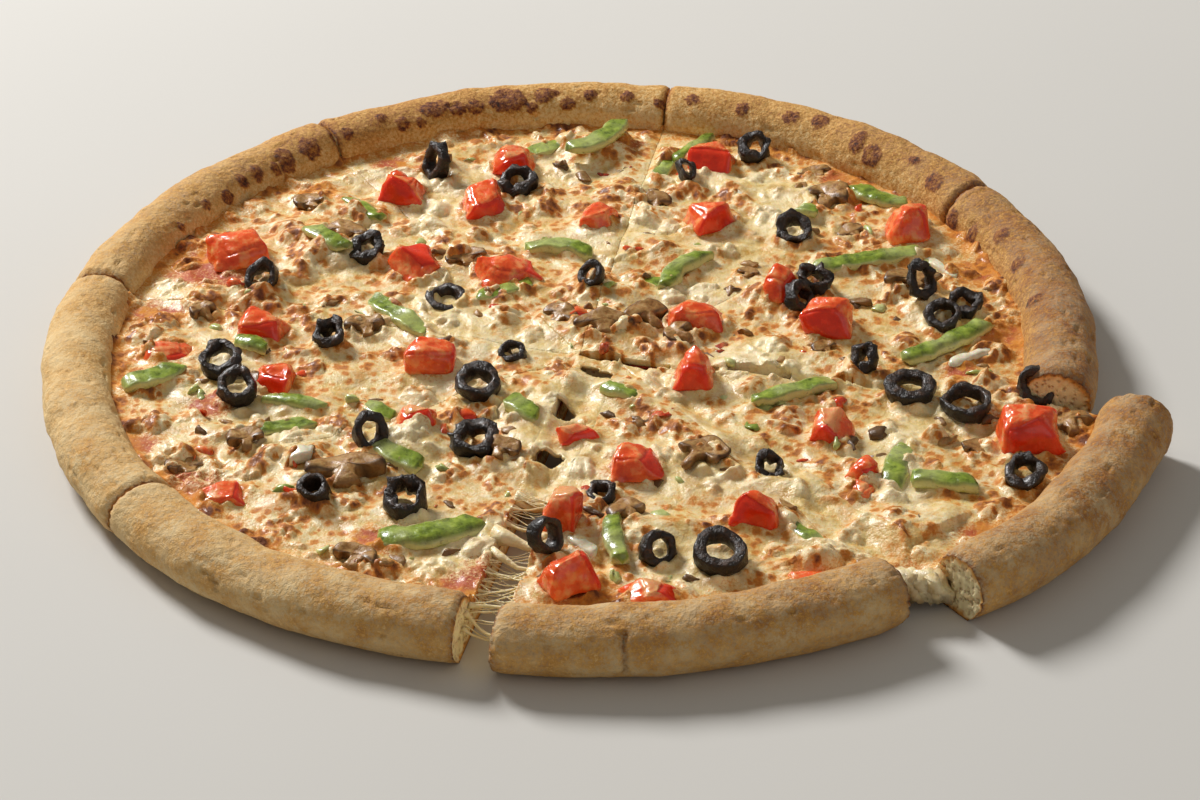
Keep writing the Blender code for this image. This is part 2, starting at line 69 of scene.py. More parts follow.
# The round of dough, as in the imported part
RIM_RADIUS = 166.0
RIM_HALF_WIDTH = 12.0
RIM_HEIGHT = 21.8
RIM_HEIGHT_SWING = 2.0
RIM_HIGH_BEARING = 45.0
RIM_BUMP = 0.9
RIM_FOOT = 1.4
RIM_END_PINCH = 0.9
RIM_SOLE = 0.35
BASE_HEIGHT = 7.0
SAUCE_BOTTOM = 7.3
SAUCE_TOP = 8.8
CHEESE_BOTTOM = 9.1
CHEESE_SEAT = 12.2
CHEESE_EDGE = 11.0
CHEESE_LUMP = 4.6
CHEESE_LUMP_WIDTH = 26.0
CHEESE_FALL = 12.0
SEAT_MARGIN = 8.0
SEAT_SLOPE = 0.35
CUT_POINT = (4.0, -10.0)
DOUGH_INSET = 0.3
SAUCE_INSET = 0.5
CHEESE_INSET = 0.06
LAYER_INSET_IN_PART = 0.6

# Slice number, first bearing, second bearing
SLICES = (
    (1, -13.3, 33.1),
    (2, 33.1, 78.7),
    (3, 78.7, 122.2),
    (4, 122.2, 164.5),
    (5, 164.5, 211.8),
    (6, 211.8, 256.8),
    (7, 258.4, 303.6),
    (8, 304.8, 346.7),
)
# Slice number: point it turns about, turn, shift
PULLED = {
    7: ((16.4, -88.5), -2.6, (9.5, -5.5)),
    8: ((73.0, -52.0), 0.0, (25.0, -10.0)),
}

# Colour of the baked rim round the pizza: bearing, how brown it is, how floury it is
RIM_BAKE = (
    (0, 0.57, 0.38),
    (45, 0.34, 0.16),
    (75, 0.16, 0.02),
    (92, 0.20, 0.02),
    (110, 0.34, 0.05),
    (125, 0.32, 0.12),
    (155, 0.28, 0.50),
    (185, 0.18, 0.75),
    (225, 0.26, 0.85),
    (265, 0.38, 0.62),
    (310, 0.46, 0.60),
    (360, 0.57, 0.38),
)
# Dark blisters on the rim: bearing, angle round the roll, half length, half height
RIM_BLISTERS = (
    (131, 132, 2.6, 4.2), (127, 130, 3.2, 3.2), (121, 128, 1.8, 1.8), (123, 122, 1.4, 1.6),
    (133, 140, 1.6, 2.0), (136, 135, 1.8, 2.6), (138.5, 135, 1.8, 2.2), (142, 150, 2.2, 2.2),
    (113, 135, 2.2, 1.9), (108, 116, 4.6, 2.6), (98, 118, 5.6, 3.6), (93, 114, 3.6, 2.4),
    (105, 126, 2.4, 2.0), (102.6, 128, 2.6, 2.0), (87, 116, 2.4, 1.6), (82, 116, 2.2, 1.6),
    (73, 116, 2.2, 1.6), (66, 120, 2.2, 1.8), (59, 112, 2.6, 2.0), (55, 104, 2.6, 2.4),
    (48, 122, 2.8, 3.0), (45, 136, 3.4, 2.8), (34, 130, 3.0, 2.6), (28, 166, 2.8, 2.8),
    (23, 162, 2.2, 2.4), (18, 126, 2.8, 2.4), (11, 132, 2.4, 2.2), (2, 132, 2.2, 2.4),
    (115.5, 112, 2.0, 1.4), (90, 134, 2.2, 1.8), (77.5, 128, 1.6, 1.4), (39, 112, 2.0, 1.4),
    (146, 138, 1.6, 1.6), (152, 144, 1.4, 1.4), (110.5, 140, 1.6, 1.4), (95, 138, 1.8, 1.4),
)

# Cracks down the outside of the rim: bearing, highest and lowest angle round the roll
RIM_CRACKS = ((273.5, 52, -30),)

# Loose toppings. Rows follow the numbered nodes: turn, length, width, height, tilt, skin side
TOMATO_NODES = (
    (20, 20, 15, 10, 0, "right"),
    (-10, 17, 15, 10, 5, "front"),
    (-4, 16, 14, 9, 0, "front"),
    (15, 16, 15, 9, 0, "front"),
    (42, 17, 16, 7, 14, "top"),
    (12, 20, 13, 8, 0, "right"),
    (-18, 17, 14, 10, 0, "front"),
    (-4, 16, 13, 11, 0, "right"),
    (-20, 16, 13, 9, 0, "front"),
    (24, 19, 14, 10, 0, "front"),
    (10, 17, 16, 12, 0, "right"),
    (-8, 18, 16, 13, 0, "front"),
    (-5, 21, 14, 8, 0, "right"),
    (0, 14, 13, 14, 0, "front"),
    (-15, 13, 12, 9, 0, "front"),
    (10, 17, 13, 9, 0, "right"),
    (78, 15, 10, 13, 0, "front"),
    (22, 20, 13, 13, 0, "right"),
    (-10, 15, 13, 11, 0, "front"),
    (5, 18, 16, 14, 0, "front"),
)
# Turn, outer diameter, height, tilt
OLIVE_NODES = (
    (0, 15.4, 5.0, 14),
    (0, 14.8, 5.5, 22),
    (0, 13.0, 5.0, 30),
    (10, 16.8, 5.5, 18),
    (20, 16.4, 5.5, 16),
    (0, 15.6, 5.5, 12),
    (0, 16.4, 5.0, 6),
)
# Turn, length, width, height, bend
PEPPER_NODES = (
    (31, 22, 8.0, 4.5, 50),
    (15, 41, 7.5, 4.5, 4),
    (36, 38, 7.5, 4.5, 25),
    (15, 33, 11.0, 4.5, 60),
    (-38, 25, 7.5, 4.0, 60),
    (-50, 32, 8.0, 3.5, 12),
)

# Small toppings that lie half sunk in the cheese
# Rows are x, y, turn, length, width, height, tilt, skin side
SMALL_TOMATOES = (
    (73, 24, 60, 14, 9, 10, 0, "front"),
    (11, 77, 70, 14, 10, 7, 0, "right"),
    (-98, -25, -25, 15, 13, 8, 0, "front"),
    (-135, -5, 10, 19, 11, 5, 0, "front"),
    (-109, -93, 15, 16, 12, 7, 0, "right"),
    (-50, -53, 0, 12, 10, 6, 0, "front"),
    (93, -88, 60, 9, 8, 7, 0, "front"),
    (92, -97, 50, 10, 8, 5, 0, "right"),
    (25, -153, 8, 17, 11, 6, 0, "right"),
    (3, -62, 20, 12, 8, 5, 0, "front"),
    (72, -146, 0, 13, 8, 6, 0, "front"),
    (3, 13, 30, 9, 7, 5, 0, "front"),
    (-34, -50, 10, 7, 6, 4, 0, "front"),
)
# Rows are x, y, turn, outer diameter, height, tilt
SMALL_OLIVES = (
    (85, 28, 0, 12.0, 6.0, 20),
    (79, 17, 60, 11.5, 5.0, 60),
    (135, 12, 0, 13.0, 6.0, 10),
    (98, -25, -35, 12.0, 5.0, 60),
    (69, 126, 0, 12.0, 5.0, 30),
    (-48, 116, -60, 14.0, 5.0, 70),
    (-18, 104, 0, 14.0, 5.0, 20),
    (-106, 36, 0, 13.0, 6.0, 40),
    (-42, 27, 0, 14.5, 5.0, 8),
    (-71, 57, -20, 12.5, 5.0, 30),
    (-81, -2, 0, 10.5, 5.0, 20),
    (-64, -65, 20, 14.0, 5.0, 60),
    (-30, -68, 0, 16.0, 5.0, 10),
    (-80, -96, 0, 10.5, 7.0, 20),
    (-51, -103, 0, 14.5, 6.0, 20),
    (10, -96, 0, 10.5, 6.0, 10),
    (27, -131, 20, 12.5, 5.0, 60),
    (143, -94, 0, 13.0, 6.0, 20),
    (-19, -11, 10, 9.4, 4.0, 30),
    (8, 31, -30, 9.7, 5.0, 55),
    (43, 109, 20, 8.0, 4.0, 40),
    (64, -84, 0, 11.4, 5.0, 25),
    (-7, -128, 60, 11.6, 5.5, 70),
    (153, -44, 5, 14.0, 4.0, 65),
    (121, 20, 20, 13.0, 5.0, 55),
    (127, 4, 0, 12.5, 5.0, 30),
)
# Rows are x, y, turn, length, width, height, bend
SMALL_PEPPERS = (
    (40, 42, 55, 28, 7.0, 4.5, -60),
    (-3, 58, -12, 25, 7.0, 4.5, -50),
    (12, 132, 48, 32, 7.5, 4.5, 75),
    (-6, 137, 30, 23, 6.5, 3.5, 15),
    (-85, 62, -48, 20, 7.0, 4.0, 20),
    (-74, 90, -50, 20, 6.5, 3.5, 0),
    (-90, -41, -20, 21, 6.5, 4.0, 0),
    (-96, -55, 14, 27, 7.0, 4.0, 20),
    (-15, -50, -50, 15, 7.5, 4.5, 20),
    (-55, -74, -38, 20, 8.5, 5.0, 20),
    (14, -124, -85, 26, 6.5, 5.0, 20),
    (73, -121, -52, 20, 6.0, 4.0, 10),
    (104, -84, -105, 26, 8.0, 4.5, 20),
    (118, -95, -12, 22, 7.5, 4.5, 10),
    (74, -41, 23, 31, 6.5, 4.5, 15),
    (29, 36, -9, 13, 6.0, 4.0, 20),
    (36, 120, 66, 20, 6.0, 4.0, 20),
    (47, 131, 53, 24, 6.0, 4.0, 30),
    (-107, -5, -34, 14, 6.0, 3.5, 0),
    (17, -38, -35, 14, 6.0, 3.5, 10),
    (86, 79, -20, 8, 5.0, 3.0, 0),
    (-62, -45, -40, 13, 6.5, 3.5, 0),
    (-22, 30, 25, 22, 6.0, 3.5, 20),
)
SMALL_ONIONS = (
    (135, -19, 28, 19, 4.5, 3.0, 20),
    (4, -126, -50, 13, 4.5, 3.0, 10),
    (128, 46, -57, 26, 4.0, 3.0, 15),
    (-85, -77, 20, 8, 6.0, 5.0, 0),
    (62, 96, -65, 18, 3.5, 2.6, 20),
)
# Rows are x, y, turn, cap width, length, height
SMALL_MUSHROOMS = (
    (119, 28, 10, 20, 14, 4.0),
    (94, 92, -20, 17, 17, 5.0),
    (101, 68, 30, 12, 11, 4.0),
    (-80, 72, -15, 17, 12, 4.0),
    (-93, 95, 20, 11, 12, 4.5),
    (-122, -75, 25, 15, 11, 4.0),
    (-104, -66, 20, 13, 10, 4.5),
    (-71, -84, 8, 27, 14, 8.0),
    (-65, -131, -25, 17, 10, 5.0),
    (42, -78, -40, 17, 17, 4.5),
    (18, -110, 30, 13, 12, 4.5),
    (162, -62, 10, 15, 11, 4.0),
    (12, 2, 5, 20, 10, 4.0),
    (27, 10, 35, 17, 12, 4.5),
    (-3, 12, -30, 13, 10, 4.0),
    (38, -4, 60, 12, 10, 4.0),
    (-22, -74, -20, 14, 10, 4.0),
    (-69, 7, 10, 14, 10, 4.0),
    (-125, 19, 40, 10, 9, 3.5),
    (62, 40, -20, 8, 7, 3.5),
    (131, -75, 10, 10, 8, 3.5),
    (86, -13, 30, 9, 8, 3.5),
    (32, 92, 0, 12, 10, 3.5),
    (-36, 53, 20, 14, 10, 4.0),
    (51, -85, 0, 7, 6, 3.0),
    (91, 114, 15, 12, 9, 3.5),
    (90, -138, 20, 7, 6, 3.0),
)
# Blown-up lumps of cheese: x, y, half length, half width, height
CHEESE_BUBBLES = (
    (76, -136, 8.0, 6.5, 6.0),
    (118, -68, 5.0, 4.2, 4.0),
    (99, -154, 6.0, 5.0, 2.5),
    (18, 131, 8.5, 6.5, 3.0),
    (-95, -72, 5.5, 4.5, 3.0),
    (2, -28, 8.0, 6.0, 1.5),
    (-30, -8, 7.0, 6.0, 1.2),
    (47, -170, 9.0, 4.0, 5.5),
)
# Places where the sauce shows through the cheese: x, y, half width
SAUCE_SHOWS = (
    (-126, 52, 24), (-142, 20, 14), (-66, 128, 9), (-55, 122, 8), (-122, -90, 18),
    (-30, -146, 16), (-140, -62, 12), (5, -162, 22), (-24, -140, 12), (60, -160, 16),
    (150, -6, 16), (142, 40, 14), (100, 108, 14), (20, 138, 12), (-92, 104, 10),
    (146, -58, 13), (128, -122, 11), (130, -26, 9), (-118, -40, 10), (-60, -120, 12),
)
# Openings in the pulled cheese: x, y, turn, half length, half width
PULLED_HOLES = (
    (-2.6, -47.5, 60, 5.6, 4.6),
    (-6.7, -76.6, 10, 5.4, 3.4),
    (4.5, -80.0, 0, 3.6, 2.6),
    (50.8, -81.4, 40, 3.4, 2.4),
    (12.0, -24.5, -38, 9.0, 2.4),
    (64.0, -26.5, -24, 11.5, 3.6),
    (46.0, -22.0, -20, 4.0, 2.0),
    (90.0, -33.0, -20, 4.5, 2.2),
    (30.0, -17.0, -15, 4.0, 1.8),
)
# Gaps with pulled cheese: first slice, its bearing and two distances from the tip, the same
# for the second slice, and how far the sheet sags
PULLED_SHEETS = (
    (6, 256.8, (1, 92), 7, 258.4, (1, 88), 1.6),
    (7, 303.6, (1, 157), 8, 304.8, (1, 150), 1.2),
    (8, 346.7, (1, 124), 1, -13.3, (28, 149), 2.0),
)

# Scraps on the cheese: piece, finish, slot, count, and the range of each value of the finish
BITS = (
    ("mushroom_bits", "baked button mushroom", "cheese", 70, (("dark", 0.0, 0.8),)),
    ("tomato_bits", "roasted tomato", "tomato", 30,
     (("skin", 0.0, 0.6), ("melt", 0.0, 0.3), ("char", 0.0, 0.7))),
    ("pepper_bits", "roasted green pepper", "pepper", 40,
     (("skin", 0.2, 1.0), ("pale", 0.0, 0.8))),
)

# Fineness of the meshes
DOUGH_COLUMNS = 168
BASE_ROWS = 10
RIM_ROWS = 54
RIM_UNDER = -62.0
WALL_LEVELS = 20
LUMP_STEP = 3.0
LUMP_REACH = 213.0
ROLL_RADIUS = 11.5
SHEET_STEP = 0.8
SHEET_THICKNESS = 1.1
SHEET_OVERLAP = 3.0
STRAND_COUNT = 900
THREAD_COUNT = 58
RUN_COUNT = 12
BIT_REACH = 148.0
DICE_CUTS = 13
MERGE_GAP = 0.01
SAUCE_COLUMNS = 60
SAUCE_ROWS = 80
SAUCE_SHORT = 0.4
GRID_SPARE = 14.0
GRID_BEHIND = 3.0
THREAD_POINTS = 15
# Bundles of threads along the gap: where each starts and ends
BUNDLES = ((0.0, 0.24), (0.46, 0.66), (0.66, 0.9))
# Radii of the threads and how many of them have each
THREAD_RADII = (0.10, 0.14, 0.2, 0.34, 0.5)
THREAD_SHARES = (0.34, 0.3, 0.2, 0.11, 0.05)
FLOOR_HALF_WIDTH = 3.0
FLOOR_GAP = 0.0002

# Ropes of pulled cheese across the front gap: points along them and their radii
ROPES = (
    (((-23, -118, 12.2), (-19, -120, 12.4), (-15.5, -121.5, 11.6), (-12.5, -123, 10.8),
      (-9, -124.5, 11.4), (-6, -125, 12)), (3.6, 2.4, 1.6, 1.4, 2.0, 3.0)),
    (((-24, -126, 12.0), (-20, -129, 11.0), (-16, -132, 9.6), (-12, -133, 9.4), (-8, -134, 11)),
     (1.8, 1.2, 0.7, 0.6, 1.6)),
)

# The stage: camera about the middle of the round in millimetres, lights in metres
EYE = (10.27, -966.96, 595.29)
TARGET = (10.27, -21.29, 0.0)
CAMERA_ROLL = -1.07
WORLD_COLOUR = (1.0, 0.95, 0.87, 1)
WORLD_STRENGTH = 0.24
# Name, place, size, power
LIGHTS = (
    ("key light", (-1.33, 1.60, 1.60), 0.80, 87.0),
    ("fill light", (0.9, -0.9, 0.9), 1.2, 1.6),
)


def linear(code):
    """Linear colour of an sRGB hex value."""
    parts = [int(code[place:place + 2], 16) / 255 for place in (1, 3, 5)]
    return [part / 12.92 if part <= 0.04045 else ((part + 0.055) / 1.055) ** 2.4 for part in parts]


def heading(bearing):
    """Unit vector on the table at this bearing."""
    return Vector((math.cos(math.radians(bearing)), math.sin(math.radians(bearing))))


def wedge_point(first, last, inset):
    """Tip of a slice whose cut sides are set in by this much."""
    half = math.radians(last - first) / 2
    return Vector(CUT_POINT) + heading((first + last) / 2) * inset / math.sin(half)


def reach(start, bearing, radius):
    """Distance from a point inside a circle about the middle to the circle."""
    along = start.dot(heading(bearing))
    return -along + math.sqrt(along * along - start.length_squared + radius * radius)


def ring_noise(bearing, layer, lobes):
    """Smooth uneven value between about -1 and 1 that closes round the ring."""
    spot = heading(bearing) * lobes
    return noise.noise(Vector((spot.x, spot.y, layer)))


def rim_shape(start, bearing):
    """Distance to the middle of the rim along a bearing, its half width and its height."""
    rough_spot = start + heading(bearing) * reach(start, bearing, RIM_RADIUS)
    around = math.degrees(math.atan2(rough_spot.y, rough_spot.x))
    radius = RIM_RADIUS + RIM_BUMP * ring_noise(around, 3.7, 5)
    half = RIM_HALF_WIDTH + RIM_BUMP * ring_noise(around, 8.2, 7)
    swing = RIM_HEIGHT_SWING * math.cos(math.radians(around - RIM_HIGH_BEARING))
    height = RIM_HEIGHT + swing + RIM_BUMP * ring_noise(around, 1.3, 6)
    return reach(start, bearing, radius), half, height


def placement(number):
    """How a slice moved from its place in the round."""
    if number not in PULLED:
        return Matrix.Identity(4)
    pivot, turn, shift = PULLED[number]
    about = Vector((*pivot, 0))
    moved = Matrix.Translation(about + Vector((*shift, 0)))
    return moved @ Matrix.Rotation(math.radians(turn), 4, "Z") @ Matrix.Translation(-about)


def middle_of_round():
    """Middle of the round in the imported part, from the tips of two layers of sauce."""
    rows = {number: (first, last) for number, first, last in SLICES}
    back_tip = wedge_point(*rows[3], LAYER_INSET_IN_PART)
    left_tip = wedge_point(*rows[5], LAYER_INSET_IN_PART)
    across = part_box("sauce_5")[1][0] / MM - left_tip.x
    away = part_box("sauce_3")[0][1] / MM - back_tip.y
    return Vector((across, away, 0))


MIDDLE = middle_of_round()


def hashed(column, row, seed):
    """Repeatable uneven values between 0 and 1 for whole-number places."""
    value = np.sin(column * 127.1 + row * 311.7 + seed * 74.7) * 43758.5453
    return value - np.floor(value)


def waves(x, y, size, seed):
    """Smooth relief between about -1 and 1 whose bumps are about this wide."""
    u = np.asarray(x, float) / size
    v = np.asarray(y, float) / size
    column = np.floor(u)
    row = np.floor(v)
    total = 0
    for right in (0, 1):
        for up in (0, 1):
            turn = math.tau * hashed(column + right, row + up, seed)
            across = u - column - right
            along = v - row - up
            fade = 1
            for share in (1 - abs(across), 1 - abs(along)):
                fade = fade * share ** 3 * (share * (share * 6 - 15) + 10)
            total = total + fade * (np.cos(turn) * across + np.sin(turn) * along)
    return 1.6 * total


def rough(x, y, size, seed, octaves=3):
    """Relief of several scales, each finer one turned a little from the last."""
    total = 0
    weight = 1.0
    for octave in range(octaves):
        turn = 0.6 + 1.1 * octave
        u = np.cos(turn) * x - np.sin(turn) * y
        v = np.sin(turn) * x + np.cos(turn) * y
        total = total + weight * waves(u, v, size / 2 ** octave, seed + 7 * octave)
        weight *= 0.5
    return total / (2 - 2 * weight)


def cells(x, y, size, seed):
    """Distance to the nearest of many scattered points, in cell sizes, and its own value."""
    u = np.asarray(x, float) / size
    v = np.asarray(y, float) / size
    column = np.floor(u)
    row = np.floor(v)
    nearest = np.full(u.shape, 9.0)
    value = np.zeros(u.shape)
    for right in (-1, 0, 1):
        for up in (-1, 0, 1):
            here = column + right
            there = row + up
            across = here + 0.1 + 0.8 * hashed(here, there, seed) - u
            along = there + 0.1 + 0.8 * hashed(here, there, seed + 3) - v
            away = np.hypot(across, along)
            closer = away < nearest
            nearest = np.where(closer, away, nearest)
            value = np.where(closer, hashed(here, there, seed + 5), value)
    return nearest, value


def eased(value, low, high):
    """Smooth step from 0 at the low value to 1 at the high value."""
    share = np.clip((value - low) / (high - low), 0, 1)
    return share * share * (3 - 2 * share)


def dome(share):
    """Rounded bump that is 1 in the middle and 0 where the share reaches 1."""
    return np.sqrt(np.clip(1 - share * share, 0, 1))


def patch(bm, points, finish=0, **values):
    """Add a grid of faces whose corners lie on an array of points, rows by columns."""
    rows = points.shape[0] - 1
    columns = points.shape[1] - 1
    for name in values:
        if name not in bm.verts.layers.float:
            bm.verts.layers.float.new(name)
    layers = [(bm.verts.layers.float[name], value.tolist()) for name, value in values.items()]
    made = bmesh.ops.create_grid(bm, x_segments=columns, y_segments=rows, size=0.5)["verts"]
    places = points.tolist()
    for vert in made:
        row = round((vert.co.y + 0.5) * rows)
        column = round((vert.co.x + 0.5) * columns)
        vert.co = places[row][column]
        for layer, value in layers:
            vert[layer] = value[row][column]
    if finish:
        for face in {face for vert in made for face in vert.link_faces}:
            face.material_index = finish
    return made


def open_edges(bm):
    """Edges that have a face on one side only."""
    return [edge for edge in bm.edges if edge.is_boundary]


def close_below(bm, bottom, levels, bulge):
    """Draw the open edge down to a height in even steps and close the underside."""
    edges = open_edges(bm)
    for level in range(levels):
        made = bmesh.ops.extrude_edge_only(bm, edges=edges)["geom"]
        share = 1 / (levels - level)
        for vert in made:
            if isinstance(vert, bmesh.types.BMVert):
                vert.co.z += (bottom - vert.co.z) * share
                lump = noise.noise(Vector((vert.co.x / 4, vert.co.y / 4, level * 1.7)))
                vert.co += Vector((lump, -lump, 0)) * bulge
        edges = [edge for edge in made if isinstance(edge, bmesh.types.BMEdge) and edge.is_boundary]
    bmesh.ops.holes_fill(bm, edges=edges, sides=0)


def piece_from(bm, name, finishes, nodes=(), move=None):
    """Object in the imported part's frame from a mesh in millimetres about the middle."""
    bmesh.ops.remove_doubles(bm, verts=bm.verts, dist=MERGE_GAP)
    bmesh.ops.recalc_face_normals(bm, faces=bm.faces)
    if move is not None:
        bmesh.ops.transform(bm, matrix=move, verts=bm.verts)
    bmesh.ops.translate(bm, vec=MIDDLE, verts=bm.verts)
    bmesh.ops.scale(bm, vec=(MM, MM, MM), verts=bm.verts)
    mesh = bpy.data.meshes.new(name)
    bm.to_mesh(mesh)
    bm.free()
    mesh.shade_smooth()
    for finish in finishes:
        mesh.materials.append(bpy.data.materials[finish])
    piece = bpy.data.objects.new(name, mesh)
    bpy.context.scene.collection.objects.link(piece)
    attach(piece, "root")
    if nodes:
        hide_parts(*nodes)
    return piece


def gather(whole, part):
    """Add the mesh of one small piece to a group of like pieces."""
    mesh = bpy.data.meshes.new("part_of_group")
    part.to_mesh(mesh)
    part.free()
    whole.from_mesh(mesh)
    bpy.data.meshes.remove(mesh)


def set_values(bm, name, values):
    """Give every vertex of a mesh a value that its material reads."""
    layer = bm.verts.layers.float.get(name) or bm.verts.layers.float.new(name)
    for vert, value in zip(bm.verts, values):
        vert[layer] = float(value)


def add(tree, kind, inputs=None, stops=None, **settings):
    """Add a node, set its properties, and fill or link its inputs."""
    made = tree.nodes.new(kind)
    for name, value in settings.items():
        setattr(made, name, value)
    for key, value in (inputs or {}).items():
        if isinstance(value, bpy.types.NodeSocket):
            tree.links.new(value, made.inputs[key])
        else:
            made.inputs[key].default_value = value
    if stops:
        ramp = made.color_ramp
        while len(ramp.elements) < len(stops):
            ramp.elements.new(1.0)
        for element, (place, colour) in zip(ramp.elements, stops):
            element.position = place
            element.color = (*colour, 1)
    return made


def object_place(tree):
    """Place on the piece, in metres."""
    return add(tree, "ShaderNodeTexCoord").outputs["Object"]


def painted(tree, name):
    """Value that the mesh carries at each point."""
    return add(tree, "ShaderNodeAttribute", attribute_name=name).outputs["Fac"]


def mottled(tree, place, scale, detail, roughness=0.5):
    """Cloudy value between 0 and 1, with this many clouds to a metre."""
    return add(tree, "ShaderNodeTexNoise", {"Vector": place, "Scale": scale, "Detail": detail,
                                            "Roughness": roughness}).outputs["Fac"]


def scaled(tree, value, factor, offset, clamp=False):
    """Value times a factor plus an offset."""
    return add(tree, "ShaderNodeMath", {0: value, 1: factor, 2: offset}, operation="MULTIPLY_ADD",
               use_clamp=clamp).outputs[0]


def summed(tree, first, second, clamp=False):
    """Sum of two values."""
    return add(tree, "ShaderNodeMath", {0: first, 1: second}, use_clamp=clamp).outputs[0]


def times(tree, first, second):
    """Product of two values."""
    return add(tree, "ShaderNodeMath", {0: first, 1: second}, operation="MULTIPLY").outputs[0]


def pored(tree, place, scale):
    """Distance to the nearest of scattered points, with this many to a metre."""
    return add(tree, "ShaderNodeTexVoronoi", {"Vector": place, "Scale": scale}).outputs["Distance"]


def ramped(tree, value, *stops):
    """Colour from a ramp of places and colours."""
    return add(tree, "ShaderNodeValToRGB", {"Fac": value}, stops=stops).outputs["Color"]


def mixed(tree, share, first, second):
    """Colour between two colours."""
    return add(tree, "ShaderNodeMix", {0: share, 6: first, 7: second}, data_type="RGBA").outputs[2]


def ranged(tree, value, low, high, start=0.0, end=1.0):
    """Value carried from one range to another."""
    return add(tree, "ShaderNodeMapRange", {"Value": value, "From Min": low, "From Max": high,
                                            "To Min": start, "To Max": end}).outputs[0]


def bumped(tree, height, strength, distance, normal=None):
    """Surface direction bent by a height, on top of another one where it is given."""
    inputs = {"Height": height, "Strength": strength, "Distance": distance}
    if normal is not None:
        inputs["Normal"] = normal
    return add(tree, "ShaderNodeBump", inputs).outputs[0]


def new_material(name, **sockets):
    """Material with a Principled shader, its tree and the shader."""
    made = bpy.data.materials.new(name)
    made.use_nodes = True
    shader = made.node_tree.nodes["Principled BSDF"]
    for socket, value in sockets.items():
        shader.inputs[socket.replace("_", " ")].default_value = value
    return made.node_tree, shader


def baked_dough_material(colours):
    """Wheat dough baked in a hot oven: matt, floury where it was rolled, browned on top."""
    tree, shader = new_material("baked wheat dough", Roughness=0.78, IOR=1.45)
    place = object_place(tree)
    toast = painted(tree, "toast")
    flour = painted(tree, "flour")
    # Mottling 5 mm wide, and specks of bran and browning half a millimetre wide
    mottle = mottled(tree, place, 190.0, 4.0, 0.6)
    specks = mottled(tree, place, 820.0, 3.0, 0.75)
    uneven = scaled(tree, mottle, 0.26, -0.13)
    grain = scaled(tree, specks, 1.4, -0.7)
    together = summed(tree, toast, uneven)
    baked = summed(tree, together, grain, clamp=True)
    browned = ramped(tree, baked, (0.0, colours.dough_pale), (0.30, colours.dough_gold),
                     (0.55, colours.dough_brown), (0.80, colours.dough_dark),
                     (1.0, colours.dough_burnt))
    # Flour left from rolling lies in soft patches 11 mm wide, broken up by its own dust
    drift = mottled(tree, place, 90.0, 8.0, 0.78)
    dusty = scaled(tree, specks, 0.9, drift)
    dust = ranged(tree, dusty, 0.84, 1.04)
    floured = times(tree, dust, flour)
    skin = mixed(tree, floured, browned, (*colours.flour, 1))
    tree.links.new(skin, shader.inputs["Base Color"])
    # Fine bubbled skin: grains about 0.6 mm wide on a soft 2.4 mm swell, and pits 2 mm apart
    swell = mottled(tree, place, 420.0, 5.0, 0.68)
    pits = pored(tree, place, 520.0)
    pitted = ranged(tree, pits, 0.0, 0.28)
    coarse = bumped(tree, swell, 0.8, 0.0014)
    middle = bumped(tree, pitted, 0.22, 0.0004, coarse)
    fine = bumped(tree, specks, 0.6, 0.0005, middle)
    tree.links.new(fine, shader.inputs["Normal"])


def crumb_material(colours):
    """Open crumb of a cut dough: moist, golden, with air pores of a millimetre or two."""
    tree, shader = new_material("open bread crumb", Roughness=0.62, IOR=1.45,
                                Subsurface_Weight=0.15, Subsurface_Scale=0.002)
    shader.inputs["Subsurface Radius"].default_value = (1.0, 0.65, 0.35)
    place = object_place(tree)
    toast = painted(tree, "toast")
    pores = pored(tree, place, 620.0)
    holes = ranged(tree, pores, 0.05, 0.45)
    mottle = mottled(tree, place, 380.0, 4.0)
    baked = scaled(tree, mottle, 0.5, toast, clamp=True)
    tone = ramped(tree, baked, (0.30, colours.crumb), (0.60, colours.crumb_gold),
                  (0.95, colours.dough_brown))
    # Painted shade: the air pores are painted darker, as the shade inside them.
    pore_shade = add(tree, "ShaderNodeMix", {0: 0.55, 6: tone, 7: (*colours.dough_brown, 1)},
                 data_type="RGBA", blend_type="MULTIPLY").outputs[2]
    colour = mixed(tree, holes, pore_shade, tone)
    tree.links.new(colour, shader.inputs["Base Color"])
    bump = bumped(tree, holes, 0.8, 0.0008)
    fine = bumped(tree, mottle, 0.4, 0.0005, bump)
    tree.links.new(fine, shader.inputs["Normal"])


def sauce_material(colours):
    """Cooked tomato sauce: thick, wet and grainy."""
    tree, shader = new_material("cooked tomato sauce", Roughness=0.34, IOR=1.38)
    place = object_place(tree)
    pulp = mottled(tree, place, 480.0, 4.0)
    colour = ramped(tree, pulp, (0.3, colours.sauce_dark), (0.7, colours.sauce))
    tree.links.new(colour, shader.inputs["Base Color"])
    bump = bumped(tree, pulp, 0.6, 0.0006)
    tree.links.new(bump, shader.inputs["Normal"])


